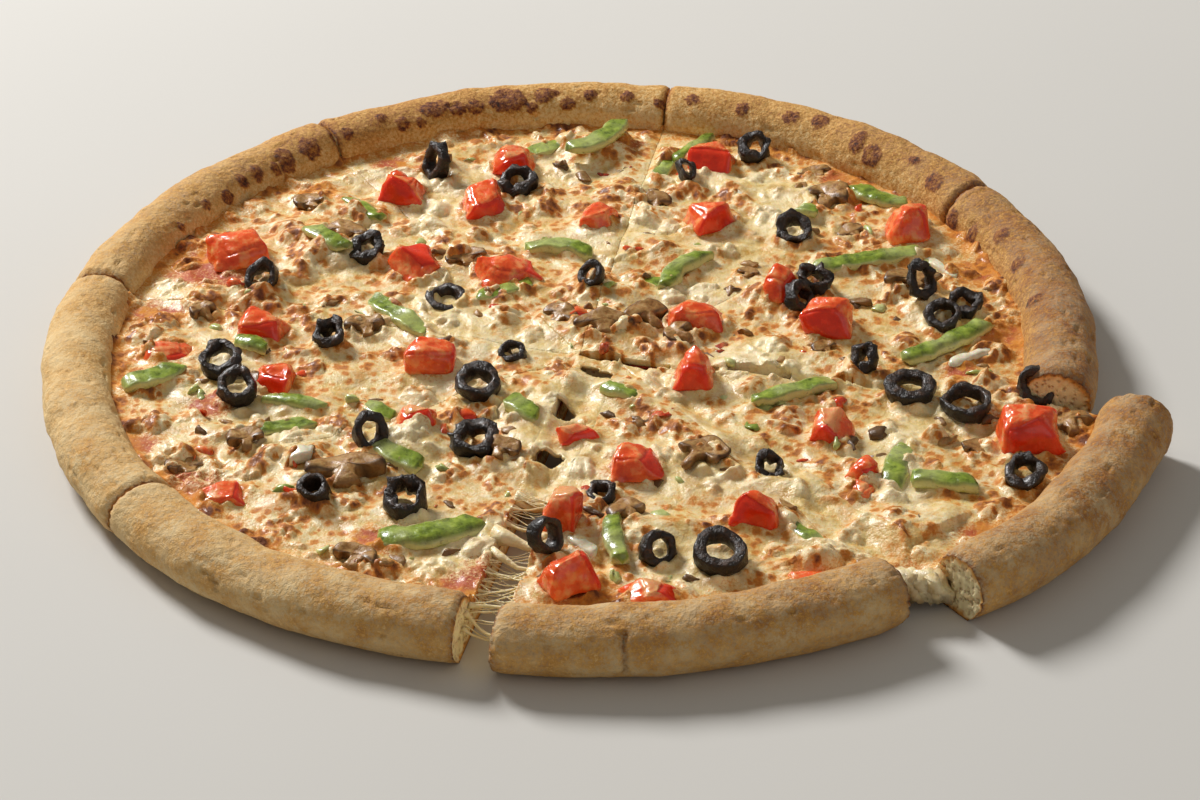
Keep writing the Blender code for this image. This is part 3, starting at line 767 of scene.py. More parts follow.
def cheese_material(colours):
    """Melted mozzarella: creamy and a little see-through, glossy with oil, browned on its bumps."""
    tree, shader = new_material("melted mozzarella", IOR=1.44, Subsurface_Weight=0.2,
                                Subsurface_Scale=0.0018, Coat_Weight=0.14, Coat_Roughness=0.14)
    shader.inputs["Subsurface Radius"].default_value = (1.0, 0.62, 0.28)
    place = object_place(tree)
    toast = painted(tree, "toast")
    stain_and_shade = painted(tree, "stain_and_shade")
    oil = painted(tree, "oil")
    # Curd mottling 3 mm wide and browned specks under a millimetre
    curd = mottled(tree, place, 330.0, 4.0, 0.55)
    specks = mottled(tree, place, 1100.0, 3.0, 0.65)
    # The puff value whitens the raised lumps: partly puffed cheese, partly a painted highlight.
    puff_and_highlight = painted(tree, "puff_and_highlight")
    thick = add(tree, "ShaderNodeMix", {0: 0.45, 2: curd, 3: puff_and_highlight}, data_type="FLOAT").outputs[0]
    creamy = ramped(tree, thick, (0.26, colours.cheese_yellow), (0.43, colours.cheese),
                    (0.60, colours.cheese_white_and_highlight))
    # Oily colour in the hollows: partly pooled oil, partly painted shade.
    oily = mixed(tree, oil, creamy, (*colours.cheese_oil_and_shade, 1))
    patchy = scaled(tree, specks, 1.5, -0.75)
    # The stain value carries the sauce that shows through and, in the hollows, painted shade too.
    seeping = summed(tree, stain_and_shade, patchy)
    sauced = ranged(tree, seeping, 0.12, 0.55)
    tinted = ramped(tree, seeping, (0.25, colours.cheese_tinted), (0.70, colours.cheese_sauced))
    reddened = mixed(tree, sauced, oily, tinted)
    ragged = scaled(tree, specks, 0.55, -0.275)
    scorched = summed(tree, toast, ragged, clamp=True)
    cover = ranged(tree, scorched, 0.08, 0.42)
    brown = ramped(tree, scorched, (0.20, colours.toast_gold), (0.50, colours.toast_orange),
                   (0.78, colours.toast_brown), (1.0, colours.toast_dark))
    surface = mixed(tree, cover, reddened, brown)
    tree.links.new(surface, shader.inputs["Base Color"])
    dry = ranged(tree, curd, 0.3, 0.7, 0.24, 0.44)
    drier = scaled(tree, cover, 0.34, dry)
    pulpy = scaled(tree, sauced, 0.3, drier)
    tree.links.new(pulpy, shader.inputs["Roughness"])
    soft = bumped(tree, curd, 0.6, 0.0012)
    grain = bumped(tree, specks, 0.5, 0.0005, soft)
    tree.links.new(grain, shader.inputs["Normal"])


def tomato_material(colours):
    """Roasted fresh tomato: tight glossy skin on one side and wet pulpy flesh on the others."""
    tree, shader = new_material("roasted tomato", IOR=1.38, Subsurface_Weight=0.45,
                                Subsurface_Scale=0.006, Coat_Weight=0.5, Coat_Roughness=0.08)
    shader.inputs["Subsurface Radius"].default_value = (1.0, 0.25, 0.12)
    place = object_place(tree)
    skin = painted(tree, "skin")
    melt = painted(tree, "melt")
    char = painted(tree, "char")
    pulp = mottled(tree, place, 260.0, 3.0, 0.55)
    fibres = mottled(tree, place, 1000.0, 3.0)
    flesh = ramped(tree, pulp, (0.28, colours.tomato_deep), (0.50, colours.tomato_flesh),
                   (0.72, colours.tomato_light))
    peel = ramped(tree, pulp, (0.30, colours.tomato_dark), (0.62, colours.tomato_skin))
    red = mixed(tree, skin, flesh, peel)
    melted = scaled(tree, pulp, 1.0, -0.5)
    film = summed(tree, melt, melted)
    covered = ranged(tree, film, 0.25, 0.60)
    cheesy = mixed(tree, covered, red, (*colours.tomato_filmed, 1))
    burn = scaled(tree, fibres, 0.7, -0.35)
    burning = summed(tree, char, burn)
    burnt = ranged(tree, burning, 0.35, 0.85)
    colour = mixed(tree, burnt, cheesy, (*colours.tomato_char, 1))
    tree.links.new(colour, shader.inputs["Base Color"])
    gloss = ranged(tree, pulp, 0.3, 0.7, 0.16, 0.36)
    tree.links.new(gloss, shader.inputs["Roughness"])
    rind = ranged(tree, skin, 0.0, 1.0, 0.7, 0.16)
    bump = bumped(tree, pulp, rind, 0.0009)
    fine = bumped(tree, fibres, 0.18, 0.0003, bump)
    tree.links.new(fine, shader.inputs["Normal"])


def olive_material(colours):
    """Ripe black olive: dark oily skin outside, duller purple-brown where it is cut."""
    tree, shader = new_material("ripe black olive", IOR=1.45, Coat_Weight=0.2, Coat_Roughness=0.2)
    place = object_place(tree)
    skin = painted(tree, "skin")
    wrinkles = mottled(tree, place, 480.0, 4.0, 0.62)
    cut = ramped(tree, wrinkles, (0.32, colours.olive), (0.52, colours.olive_cut),
                 (0.74, colours.olive_brown))
    colour = mixed(tree, skin, cut, (*colours.olive, 1))
    tree.links.new(colour, shader.inputs["Base Color"])
    gloss = ranged(tree, wrinkles, 0.3, 0.7, 0.28, 0.55)
    tree.links.new(gloss, shader.inputs["Roughness"])
    bump = bumped(tree, wrinkles, 1.0, 0.0014)
    tree.links.new(bump, shader.inputs["Normal"])


def pepper_material(colours):
    """Roasted green pepper: waxy deep green skin, paler wet flesh, browned here and there."""
    tree, shader = new_material("roasted green pepper", IOR=1.42, Subsurface_Weight=0.15,
                                Subsurface_Scale=0.003, Coat_Weight=0.4, Coat_Roughness=0.1)
    shader.inputs["Subsurface Radius"].default_value = (0.9, 1.0, 0.3)
    place = object_place(tree)
    skin = painted(tree, "skin")
    pale = painted(tree, "pale")
    folds = mottled(tree, place, 300.0, 4.0, 0.6)
    pores = mottled(tree, place, 900.0, 3.0)
    peel = ramped(tree, folds, (0.30, colours.pepper_dark), (0.52, colours.pepper),
                  (0.72, colours.pepper_light))
    flesh = ramped(tree, folds, (0.30, colours.pepper_light), (0.60, colours.pepper_flesh))
    green = mixed(tree, skin, flesh, peel)
    faded = mixed(tree, pale, green, (*colours.pepper_flesh, 1))
    scorch = ranged(tree, pores, 0.60, 0.74)
    scorched = times(tree, scorch, 0.5)
    colour = mixed(tree, scorched, faded, (*colours.pepper_scorch, 1))
    tree.links.new(colour, shader.inputs["Base Color"])
    gloss = ranged(tree, folds, 0.3, 0.7, 0.22, 0.40)
    tree.links.new(gloss, shader.inputs["Roughness"])
    bump = bumped(tree, folds, 0.5, 0.0009)
    fine = bumped(tree, pores, 0.2, 0.0003, bump)
    tree.links.new(fine, shader.inputs["Normal"])


def mushroom_material(colours):
    """Baked button mushroom: tan flesh, a dark skin round the cap and dark gills under it."""
    tree, shader = new_material("baked button mushroom", IOR=1.40, Subsurface_Weight=0.10,
                                Subsurface_Scale=0.0015, Coat_Weight=0.2, Coat_Roughness=0.2)
    place = object_place(tree)
    dark = painted(tree, "dark")
    fibres = mottled(tree, place, 520.0, 4.0, 0.65)
    flesh = ramped(tree, fibres, (0.30, colours.mushroom_brown), (0.50, colours.mushroom),
                   (0.72, colours.mushroom_pale))
    uneven = scaled(tree, fibres, 0.8, -0.4)
    edge = summed(tree, dark, uneven, clamp=True)
    colour = mixed(tree, edge, flesh, (*colours.mushroom_dark, 1))
    tree.links.new(colour, shader.inputs["Base Color"])
    gloss = ranged(tree, fibres, 0.3, 0.7, 0.30, 0.55)
    tree.links.new(gloss, shader.inputs["Roughness"])
    bump = bumped(tree, fibres, 0.6, 0.0007)
    tree.links.new(bump, shader.inputs["Normal"])


def onion_material(colours):
    """Softened white onion: pale, glossy and half see-through, with fine lengthwise lines."""
    tree, shader = new_material("softened white onion", IOR=1.40, Roughness=0.25,
                                Subsurface_Weight=0.35, Subsurface_Scale=0.002, Coat_Weight=0.4,
                                Coat_Roughness=0.1)
    place = object_place(tree)
    lines = mottled(tree, place, 500.0, 3.0)
    colour = ramped(tree, lines, (0.3, colours.onion_shade), (0.65, colours.onion))
    tree.links.new(colour, shader.inputs["Base Color"])
    bump = bumped(tree, lines, 0.35, 0.0005)
    tree.links.new(bump, shader.inputs["Normal"])


def floor_material(colours):
    """Plain pale matt floor."""
    tree, shader = new_material("matt painted floor", Roughness=0.85)
    place = object_place(tree)
    cloud = mottled(tree, place, 3.0, 2.0)
    colour = ramped(tree, cloud, (0.3, [part * 0.97 for part in colours.floor]), (0.7, colours.floor))
    tree.links.new(colour, shader.inputs["Base Color"])


MATERIALS = {
    "baked wheat dough": baked_dough_material,
    "open bread crumb": crumb_material,
    "cooked tomato sauce": sauce_material,
    "melted mozzarella": cheese_material,
    "roasted tomato": tomato_material,
    "ripe black olive": olive_material,
    "roasted green pepper": pepper_material,
    "baked button mushroom": mushroom_material,
    "softened white onion": onion_material,
    "matt painted floor": floor_material,
}


def use_materials(*names):
    """Make the materials that aren't there yet."""
    for name in names:
        if name not in bpy.data.materials:
            MATERIALS[name](bpy.context.scene.pizza_colours)
    return names


def dough_arrays(first, last, sizes):
    """Upper surface of one slice's dough, its two lower edges, and how it is baked."""
    start = wedge_point(first, last, DOUGH_INSET)
    bearings = np.linspace(first, last, DOUGH_COLUMNS + 1)
    centre, half, height = np.array([rim_shape(start, bearing) for bearing in bearings]).T
    beside = np.radians(np.minimum(bearings - first, last - bearings)) * centre
    pinch = RIM_END_PINCH * np.exp(-(beside / 1.2) ** 2)
    half = half - pinch / 2
    height = height - pinch
    rays = np.radians(bearings)
    middle = np.stack([start.x + np.cos(rays) * centre, start.y + np.sin(rays) * centre])
    around = (np.degrees(np.arctan2(middle[1], middle[0])) - SLICES[0][1]) % 360
    around = np.where((around > 350) & (bearings < 0), around - 360, around)
    arc = np.radians(around)[:, None] * RIM_RADIUS

    foot = centre - half - RIM_FOOT
    share = np.linspace(0, 1, BASE_ROWS)
    angles = np.linspace(180, RIM_UNDER, RIM_ROWS + 1)
    roll = np.radians(angles)[None, :]
    lift = np.radians(180 - angles)[None, :] * ROLL_RADIUS
    steady = eased(angles, RIM_UNDER, -30)[None, :] * eased(184 - angles, 0, 10)[None, :]
    relief = 1.15 * rough(arc, lift * 0.7, 26, 1, 2) + 0.42 * rough(arc, lift, 9, 2)
    relief += 0.18 * rough(arc, lift, 2.6, 3)
    relief += 0.22 * rough(arc / 7, lift, 2.0, 4, 2) * eased(-angles, -95, -40)[None, :]
    near, size = cells(arc / 7.5 + 0.3 * waves(arc, lift, 6, 6), lift / 3.0, 1.0, 5)
    relief -= 1.0 * (size > 0.84) * np.clip(1 - near / 0.30, 0, 1) ** 0.6
    near, size = cells(arc, lift, 4.2, 7)
    relief -= 0.4 * (size > 0.84) * np.clip(1 - near / 0.22, 0, 1) ** 0.7
    crack = np.zeros_like(relief)
    for bearing, upper, lower in RIM_CRACKS:
        spot = math.radians((bearing - SLICES[0][1]) % 360) * RIM_RADIUS
        away = arc - spot + 1.2 * waves(lift, arc / 9, 4, bearing)
        window = eased(angles, lower - 6, lower + 6) * eased(-angles, -upper - 6, -upper + 6)
        crack = np.maximum(crack, np.exp(-(away / 0.7) ** 2) * window[None, :])
    relief -= 1.5 * crack
    blister = np.zeros_like(relief)
    for bearing, angle, long, high in RIM_BLISTERS:
        spot = math.radians((bearing - SLICES[0][1]) % 360) * RIM_RADIUS
        across = (arc - spot) / (1.35 * long)
        up = (lift - math.radians(180 - angle) * ROLL_RADIUS) / (1.5 * high)
        wobble = 0.22 * waves(arc, lift, 3.2, bearing)
        blister = np.maximum(blister, dome(np.hypot(across, up) + wobble))
    relief += 0.6 * blister
    seam = np.exp(-(beside / 1.7) ** 2)[:, None]
    relief -= seam * (0.3 + 1.1 * abs(waves(arc / 3, lift, 3.2, first)))
    relief *= steady * sizes.rim_relief

    distance = np.concatenate([share[None, :] * foot[:, None],
                               centre[:, None] + (half[:, None] + relief) * np.cos(roll),
                               (centre + half * RIM_SOLE)[:, None]], axis=1)
    rise = np.concatenate([np.full((len(bearings), BASE_ROWS), BASE_HEIGHT),
                           height[:, None] / 2 * (1 + np.sin(roll)) + relief * np.sin(roll),
                           np.zeros((len(bearings), 1))], axis=1)
    rise = np.maximum(rise, 0)
    points = np.stack([start.x + np.cos(rays)[:, None] * distance,
                       start.y + np.sin(rays)[:, None] * distance, rise], axis=2)

    table = np.array(RIM_BAKE)
    real = (around + SLICES[0][1]) % 360
    brown = np.interp(real, table[:, 0], table[:, 1])[:, None]
    floury = np.interp(real, table[:, 0], table[:, 2])[:, None]
    upward = np.sin(roll)
    toast = brown + 0.10 * np.clip(upward, 0, 1) - 0.05 * np.clip(-upward, 0, 1)
    # The inner wall of the roll is painted paler, as painted light on a side that lies in shade; it also
    # keeps only half the flour.
    inner_wall_lightened = eased(angles, 115, 160)[None, :]
    toast = toast - 0.15 * inner_wall_lightened
    toast = toast + 0.08 * rough(arc, lift, 15, 21) + 0.06 * rough(arc, lift, 4.5, 22)
    toast = toast + 0.08 * np.clip(relief, 0, 1.5)
    # Painted shade: the dough is painted darker along the cut sides of each slice and down the cracks.
    toast = toast + 0.32 * np.exp(-(beside / 1.1) ** 2)[:, None] + 0.35 * crack
    scorch = eased(blister, 0.02, 0.35)
    toast = toast * (1 - scorch) + scorch * (0.80 + 0.16 * waves(arc, lift, 2.2, 23) - 0.10 * blister)
    flour = floury * (0.75 + 0.5 * rough(arc, lift, 12, 24)) * (1 - blister) * (1 - 0.5 * inner_wall_lightened)
    ahead = np.full((len(bearings), BASE_ROWS), 0.3)
    sole = np.full((len(bearings), 1), 0.4)
    values = {
        "toast": np.concatenate([ahead, np.clip(toast, 0, 1), sole], axis=1),
        "flour": np.concatenate([ahead * 0, np.clip(flour, 0, 1), sole], axis=1),
    }
    walls = []
    for side, turn in ((0, -90), (-1, 90)):
        outward = heading(bearings[side] + turn)
        ray = heading(bearings[side])
        ends = np.linspace(0, 1, RIM_ROWS + 2)
        below = np.concatenate([share * foot[side], foot[side] + ends * (
            centre[side] + half[side] * RIM_SOLE - foot[side])])
        floor = np.stack([start.x + ray.x * below, start.y + ray.y * below, below * 0], axis=1)
        level = np.linspace(0, 1, WALL_LEVELS + 1)[:, None, None]
        wall = points[side][None] * (1 - level) + floor[None] * level
        along = (wall[:, :, 0] - start.x) * ray.x + (wall[:, :, 1] - start.y) * ray.y
        high = wall[:, :, 2]
        inside = np.sin(np.pi * level[:, :, 0]) ** 0.5
        near, size = cells(along, high, 2.6, 31 + side)
        small, _ = cells(along, high, 1.4, 37 + side)
        pores = (0.4 + 1.2 * size) * np.clip(1 - near / 0.5, 0, 1) + 0.4 * np.clip(1 - small / 0.5, 0, 1)
        inward = inside * (0.1 + pores + 0.25 * waves(along, high, 3, 41))
        wall[:, :, 0] -= outward.x * inward
        wall[:, :, 1] -= outward.y * inward
        depth = np.linalg.norm(wall - points[side][None], axis=2)
        deep = np.minimum(depth, wall[:, :, 2])
        walls.append((wall, 0.75 * np.exp(-deep / 1.1) + 0.12 * waves(along, high, 5, 43)))
    return points, values, walls


def baked_crust(number, first, last, sizes):
    """Dough of one slice, with its rolled rim and its cut sides."""
    points, values, walls = dough_arrays(first, last, sizes)
    bm = bmesh.new()
    patch(bm, points, toast=values["toast"], flour=values["flour"])
    for wall, toast in walls:
        patch(bm, wall, finish=1, toast=np.clip(toast, 0, 1), flour=toast * 0)
    bmesh.ops.remove_doubles(bm, verts=bm.verts, dist=0.02)
    bmesh.ops.holes_fill(bm, edges=open_edges(bm), sides=0)
    finishes = use_materials("baked wheat dough", "open bread crumb")
    piece_from(bm, f"baked_crust_{number}", finishes, [f"crust_{number}"], placement(number))


def sauce_layer(number, first, last):
    """Layer of sauce of one slice."""
    start = wedge_point(first, last, SAUCE_INSET)
    bearings = np.linspace(first, last, SAUCE_COLUMNS + 1)
    ends = []
    for bearing in bearings:
        centre, half, _ = rim_shape(start, bearing)
        ends.append(centre - half - RIM_FOOT - SAUCE_SHORT)
    share = np.linspace(0, 1, SAUCE_ROWS + 1)[None, :]
    distance = np.array(ends)[:, None] * share
    rays = np.radians(bearings)[:, None]
    x = start.x + np.cos(rays) * distance
    y = start.y + np.sin(rays) * distance
    rise = SAUCE_TOP - 0.15 + 0.22 * rough(x, y, 6, 51)
    bm = bmesh.new()
    patch(bm, np.stack([x, y, rise], axis=2))
    bmesh.ops.remove_doubles(bm, verts=bm.verts, dist=0.02)
    close_below(bm, SAUCE_BOTTOM, 2, 0.15)
    finishes = use_materials("cooked tomato sauce")
    piece_from(bm, f"sauce_layer_{number}", finishes, [f"sauce_{number}"], placement(number))


def node_middle(name):
    """Middle of a node on the table, in millimetres about the middle of the round."""
    low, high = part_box(name)
    return ((low[0] + high[0]) / 2 / MM - MIDDLE.x, (low[1] + high[1]) / 2 / MM - MIDDLE.y)


def node_base(name):
    """Height of the lowest point of a node, in millimetres."""
    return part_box(name)[0][2] / MM


@lru_cache(maxsize=None)
def loose_ovals():
    """Ovals under the loose toppings: x, y, turn, half length, half width."""
    ovals = []
    for index, (turn, length, width, _, _, _) in enumerate(TOMATO_NODES, 1):
        ovals.append((*node_middle(f"tomato_{index}"), turn, length / 2, width / 2))
    for index, (turn, outer, _, _) in enumerate(OLIVE_NODES, 1):
        ovals.append((*node_middle(f"olive_{index}"), turn, outer / 2, outer / 2))
    for index, (turn, length, width, _, _) in enumerate(PEPPER_NODES, 1):
        ovals.append((*node_middle(f"pepper_{index}"), turn, length / 2, width / 2))
    return ovals


@lru_cache(maxsize=None)
def sunk_ovals():
    """Ovals under the small toppings."""
    ovals = [(row[0], row[1], row[2], row[3] / 2, row[4] / 2) for row in SMALL_TOMATOES]
    ovals += [(row[0], row[1], row[2], row[3] / 2, row[3] / 2) for row in SMALL_OLIVES]
    ovals += [(row[0], row[1], row[2], row[3] / 2, row[4] / 2) for row in SMALL_PEPPERS + SMALL_ONIONS]
    ovals += [(row[0], row[1], row[2], row[3] / 2, row[4] / 2) for row in SMALL_MUSHROOMS]
    return ovals


@lru_cache(maxsize=None)
def seats():
    """Low places of the cheese under the loose toppings: x, y, radius."""
    found = []
    for x, y, turn, long, wide in loose_ovals():
        if long > 2 * wide:
            for part in (-0.7, 0, 0.7):
                spot = heading(turn) * long * part
                found.append((x + spot.x, y + spot.y, long / 3 + wide))
        else:
            found.append((x, y, max(long, wide)))
    return found


@lru_cache(maxsize=None)
def lump_field():
    """Broad lumps of the cheese on a coarse grid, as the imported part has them."""
    count = int(2 * LUMP_REACH / LUMP_STEP) + 1
    field = np.zeros((count, count))
    for row in range(count):
        for column in range(count):
            x = column * LUMP_STEP - LUMP_REACH
            y = row * LUMP_STEP - LUMP_REACH
            spot = Vector((x, y, 0)) / CHEESE_LUMP_WIDTH
            field[row, column] = noise.noise(spot) + 0.5 * noise.noise(spot * 2.1 + Vector((9, 4, 2)))
    return field


@lru_cache(maxsize=None)
def strands():
    """Half-melted shreds of cheese: x, y, turn, half length, half width, height, bow."""
    random = np.random.default_rng(SEED)
    found = []
    for _ in range(STRAND_COUNT):
        radius = 180 * math.sqrt(random.random())
        bearing = random.uniform(0, 360)
        spot = heading(bearing) * radius
        found.append((spot.x + 5, spot.y - 5, random.uniform(0, 180), random.uniform(5, 12),
                      random.uniform(1.3, 2.1), random.uniform(0.35, 1.0), random.uniform(-2.5, 2.5)))
    return found


def sampled(field, x, y):
    """Value of the coarse grid between its points."""
    u = np.clip((x + LUMP_REACH) / LUMP_STEP, 0, field.shape[1] - 1.001)
    v = np.clip((y + LUMP_REACH) / LUMP_STEP, 0, field.shape[0] - 1.001)
    column = u.astype(int)
    row = v.astype(int)
    across = u - column
    along = v - row
    near = field[row, column] * (1 - across) + field[row, column + 1] * across
    far = field[row + 1, column] * (1 - across) + field[row + 1, column + 1] * across
    return near * (1 - along) + far * along


def oval_distance(x, y, oval):
    """Rough distance outside an oval, negative inside it."""
    middle_x, middle_y, turn, long, wide = oval
    cosine = math.cos(math.radians(turn))
    sine = math.sin(math.radians(turn))
    along = (x - middle_x) * cosine + (y - middle_y) * sine
    across = (y - middle_y) * cosine - (x - middle_x) * sine
    return (np.hypot(along / long, across / wide) - 1) * min(long, wide)


def cheese_surface(number, x, y, sizes):
    """Height of the melted cheese at spots of one slice, how it is browned and stained, and where
    highlight and shade are painted on it.
    """
    back = placement(number).inverted()
    before_x = back[0][0] * x + back[0][1] * y + back[0][3]
    before_y = back[1][0] * x + back[1][1] * y + back[1][3]
    level = CHEESE_SEAT + CHEESE_LUMP * sampled(lump_field(), x, y)
    for seat_x, seat_y, radius in seats():
        away = np.hypot(x - seat_x, y - seat_y) - radius - SEAT_MARGIN
        level = np.minimum(level, CHEESE_SEAT + SEAT_SLOPE * np.maximum(0, away))
    inside = RIM_RADIUS - RIM_HALF_WIDTH - np.hypot(before_x, before_y)
    fall = CHEESE_EDGE + (CHEESE_SEAT - CHEESE_EDGE) * np.maximum(inside, 0) / CHEESE_FALL
    level = np.where(inside < CHEESE_FALL, np.minimum(level, fall), level)
    level = np.maximum(level, CHEESE_EDGE)

    loose = np.full(x.shape, 30.0)
    for oval in loose_ovals():
        loose = np.minimum(loose, oval_distance(x, y, oval))
    small = np.full(x.shape, 30.0)
    for oval in sunk_ovals():
        small = np.minimum(small, oval_distance(x, y, oval))

    warp_x = x + 2.2 * waves(x, y, 11, 61)
    warp_y = y + 2.2 * waves(x, y, 11, 62)
    near, size = cells(warp_x, warp_y, 10.5, 63)
    pillows = (0.3 + 3.6 * size) * (1 - np.clip(near / 0.78, 0, 1) ** 2)
    tops = eased(1 - near / 0.70, 0.15, 0.70) * eased(size, 0.15, 0.5)
    near, size = cells(warp_x, warp_y, 5.4, 64)
    beads = (0.1 + 1.0 * size) * dome(np.clip(near / 0.62, 0, 1))
    near, size = cells(warp_x, warp_y, 2.9, 60)
    crumbs = 0.35 * size * dome(np.clip(near / 0.6, 0, 1))
    shreds = np.zeros(x.shape)
    for strand_x, strand_y, turn, long, wide, high, bow in strands():
        near_by = (abs(x - strand_x) < long + 3) & (abs(y - strand_y) < long + 3)
        if near_by.any():
            cosine = math.cos(math.radians(turn))
            sine = math.sin(math.radians(turn))
            dx = x[near_by] - strand_x
            dy = y[near_by] - strand_y
            along = dx * cosine + dy * sine
            across = dy * cosine - dx * sine - bow * (along / long) ** 2
            beyond = np.maximum(abs(along) - long, 0)
            rise = high * dome(np.clip(np.hypot(across, beyond) / wide, 0, 1))
            shreds[near_by] = np.maximum(shreds[near_by], rise)
    calm = 0.80 + 0.25 * eased(loose, -1, 5)
    broad = 0.9 * rough(x, y, 16, 65, 2)
    fine = 0.18 * rough(x, y, 2.2, 66, 2)
    relief = (broad + 0.85 * pillows + 0.75 * beads + crumbs + 1.1 * shreds - 2.0) * calm + fine
    for bubble_x, bubble_y, long, wide, high in CHEESE_BUBBLES:
        share = np.hypot((x - bubble_x) / long, (y - bubble_y) / wide)
        wobble = 0.12 * waves(x, y, 4, 67)
        relief = np.maximum(relief, relief * 0.5 + high * (1 - np.clip(share + wobble, 0, 1) ** 2))
    relief = relief * sizes.cheese_relief
    uneven = eased(waves(x, y, 7, 59), -0.25, 0.55)
    hug = (0.7 + 1.7 * uneven) * np.exp(-(loose / 1.8) ** 2)
    hug = hug + (0.5 + 1.2 * uneven) * np.exp(-(small / 1.8) ** 2)
    hug = hug + 2.2 * eased(-small, -1.5, 1.5) * eased(waves(x, y, 6.5, 58), 0.0, 0.5)
    climb = (0.9 + 1.1 * rough(x, y, 11, 68, 2)) * np.clip(1 - inside / 5, 0, 1.3) ** 2
    height = level + relief + hug + climb

    cluster = eased(rough(x, y, 36, 69, 2) + 0.12 * eased(x, 40, 130), -0.45, 0.16)
    peaks = eased(relief, -0.9, 1.1)
    # Raised lumps are painted whiter with the relief: partly thick puffed cheese, partly a painted
    # highlight.
    puff_and_highlight = np.clip(0.5 + 0.22 * relief + 0.35 * rough(x, y, 13, 82, 2), 0, 1)
    # Low places between the lumps: their oil and sauce colour is partly pooled oil and sauce, partly
    # painted shade.
    valleys_pooled_and_shaded = eased(-relief, -0.2, 1.3)
    blotch = eased(rough(x, y, 3.6, 70, 2) + 0.3 * tops, 0.28, 0.60)
    near, size = cells(x + 0.8 * waves(x, y, 2.5, 77), y + 0.8 * waves(x, y, 2.5, 78), 4.0, 71)
    spots = np.clip(1.5 - near / (0.10 + 0.34 * size), 0, 1) * (size > 0.25)
    golden = 0.12 + 0.30 * rough(x, y, 6, 79, 2) + 0.10 * tops
    browned = np.maximum(0.8 * blotch * (0.4 + 0.6 * tops), spots)
    toast = cluster * (golden + (0.2 + 0.5 * peaks) * browned)
    edging = np.exp(-np.maximum(inside, 0) / 3.5) * (0.45 + 0.5 * rough(x, y, 7, 72))
    toast = np.clip(toast + edging * sizes.edge_browning, 0, 1)
    stain_and_shade = np.exp(-np.maximum(inside, 0) / 7) * (0.55 + 0.6 * rough(x, y, 18, 73))
    # The hollows are stained as well: partly sauce pooled in them, partly painted shade.
    stain_and_shade = np.maximum(stain_and_shade, valleys_pooled_and_shaded * (0.45 + 0.6 * rough(x, y, 24, 80, 2)))
    for spot_x, spot_y, wide in SAUCE_SHOWS:
        away = np.hypot(x - spot_x, y - spot_y) / wide + 0.35 * rough(x, y, 9, 74)
        stain_and_shade = np.maximum(stain_and_shade, 0.85 * eased(-away, -1.1, -0.35))
    for oval in loose_ovals()[:len(TOMATO_NODES)] + sunk_ovals()[:len(SMALL_TOMATOES)]:
        seeped = 0.6 * np.exp(-np.maximum(oval_distance(x, y, oval), 0) / 2.4)
        stain_and_shade = np.maximum(stain_and_shade, seeped * (0.7 + 0.5 * waves(x, y, 6, 75)))
    stain_and_shade = stain_and_shade * (1 - 0.45 * peaks)
    # Oil lies in the hollows, partly oil pooled there and partly painted shade, and in patches
    # elsewhere.
    oil = valleys_pooled_and_shaded * (0.85 + 0.4 * rough(x, y, 20, 76)) + 0.45 * eased(rough(x, y, 8, 83, 2), 0.0, 0.5)
    values = {"toast": toast, "stain_and_shade": stain_and_shade, "oil": oil, "puff_and_highlight": puff_and_highlight}
    return height, {name: np.clip(value, 0, 1) for name, value in values.items()}


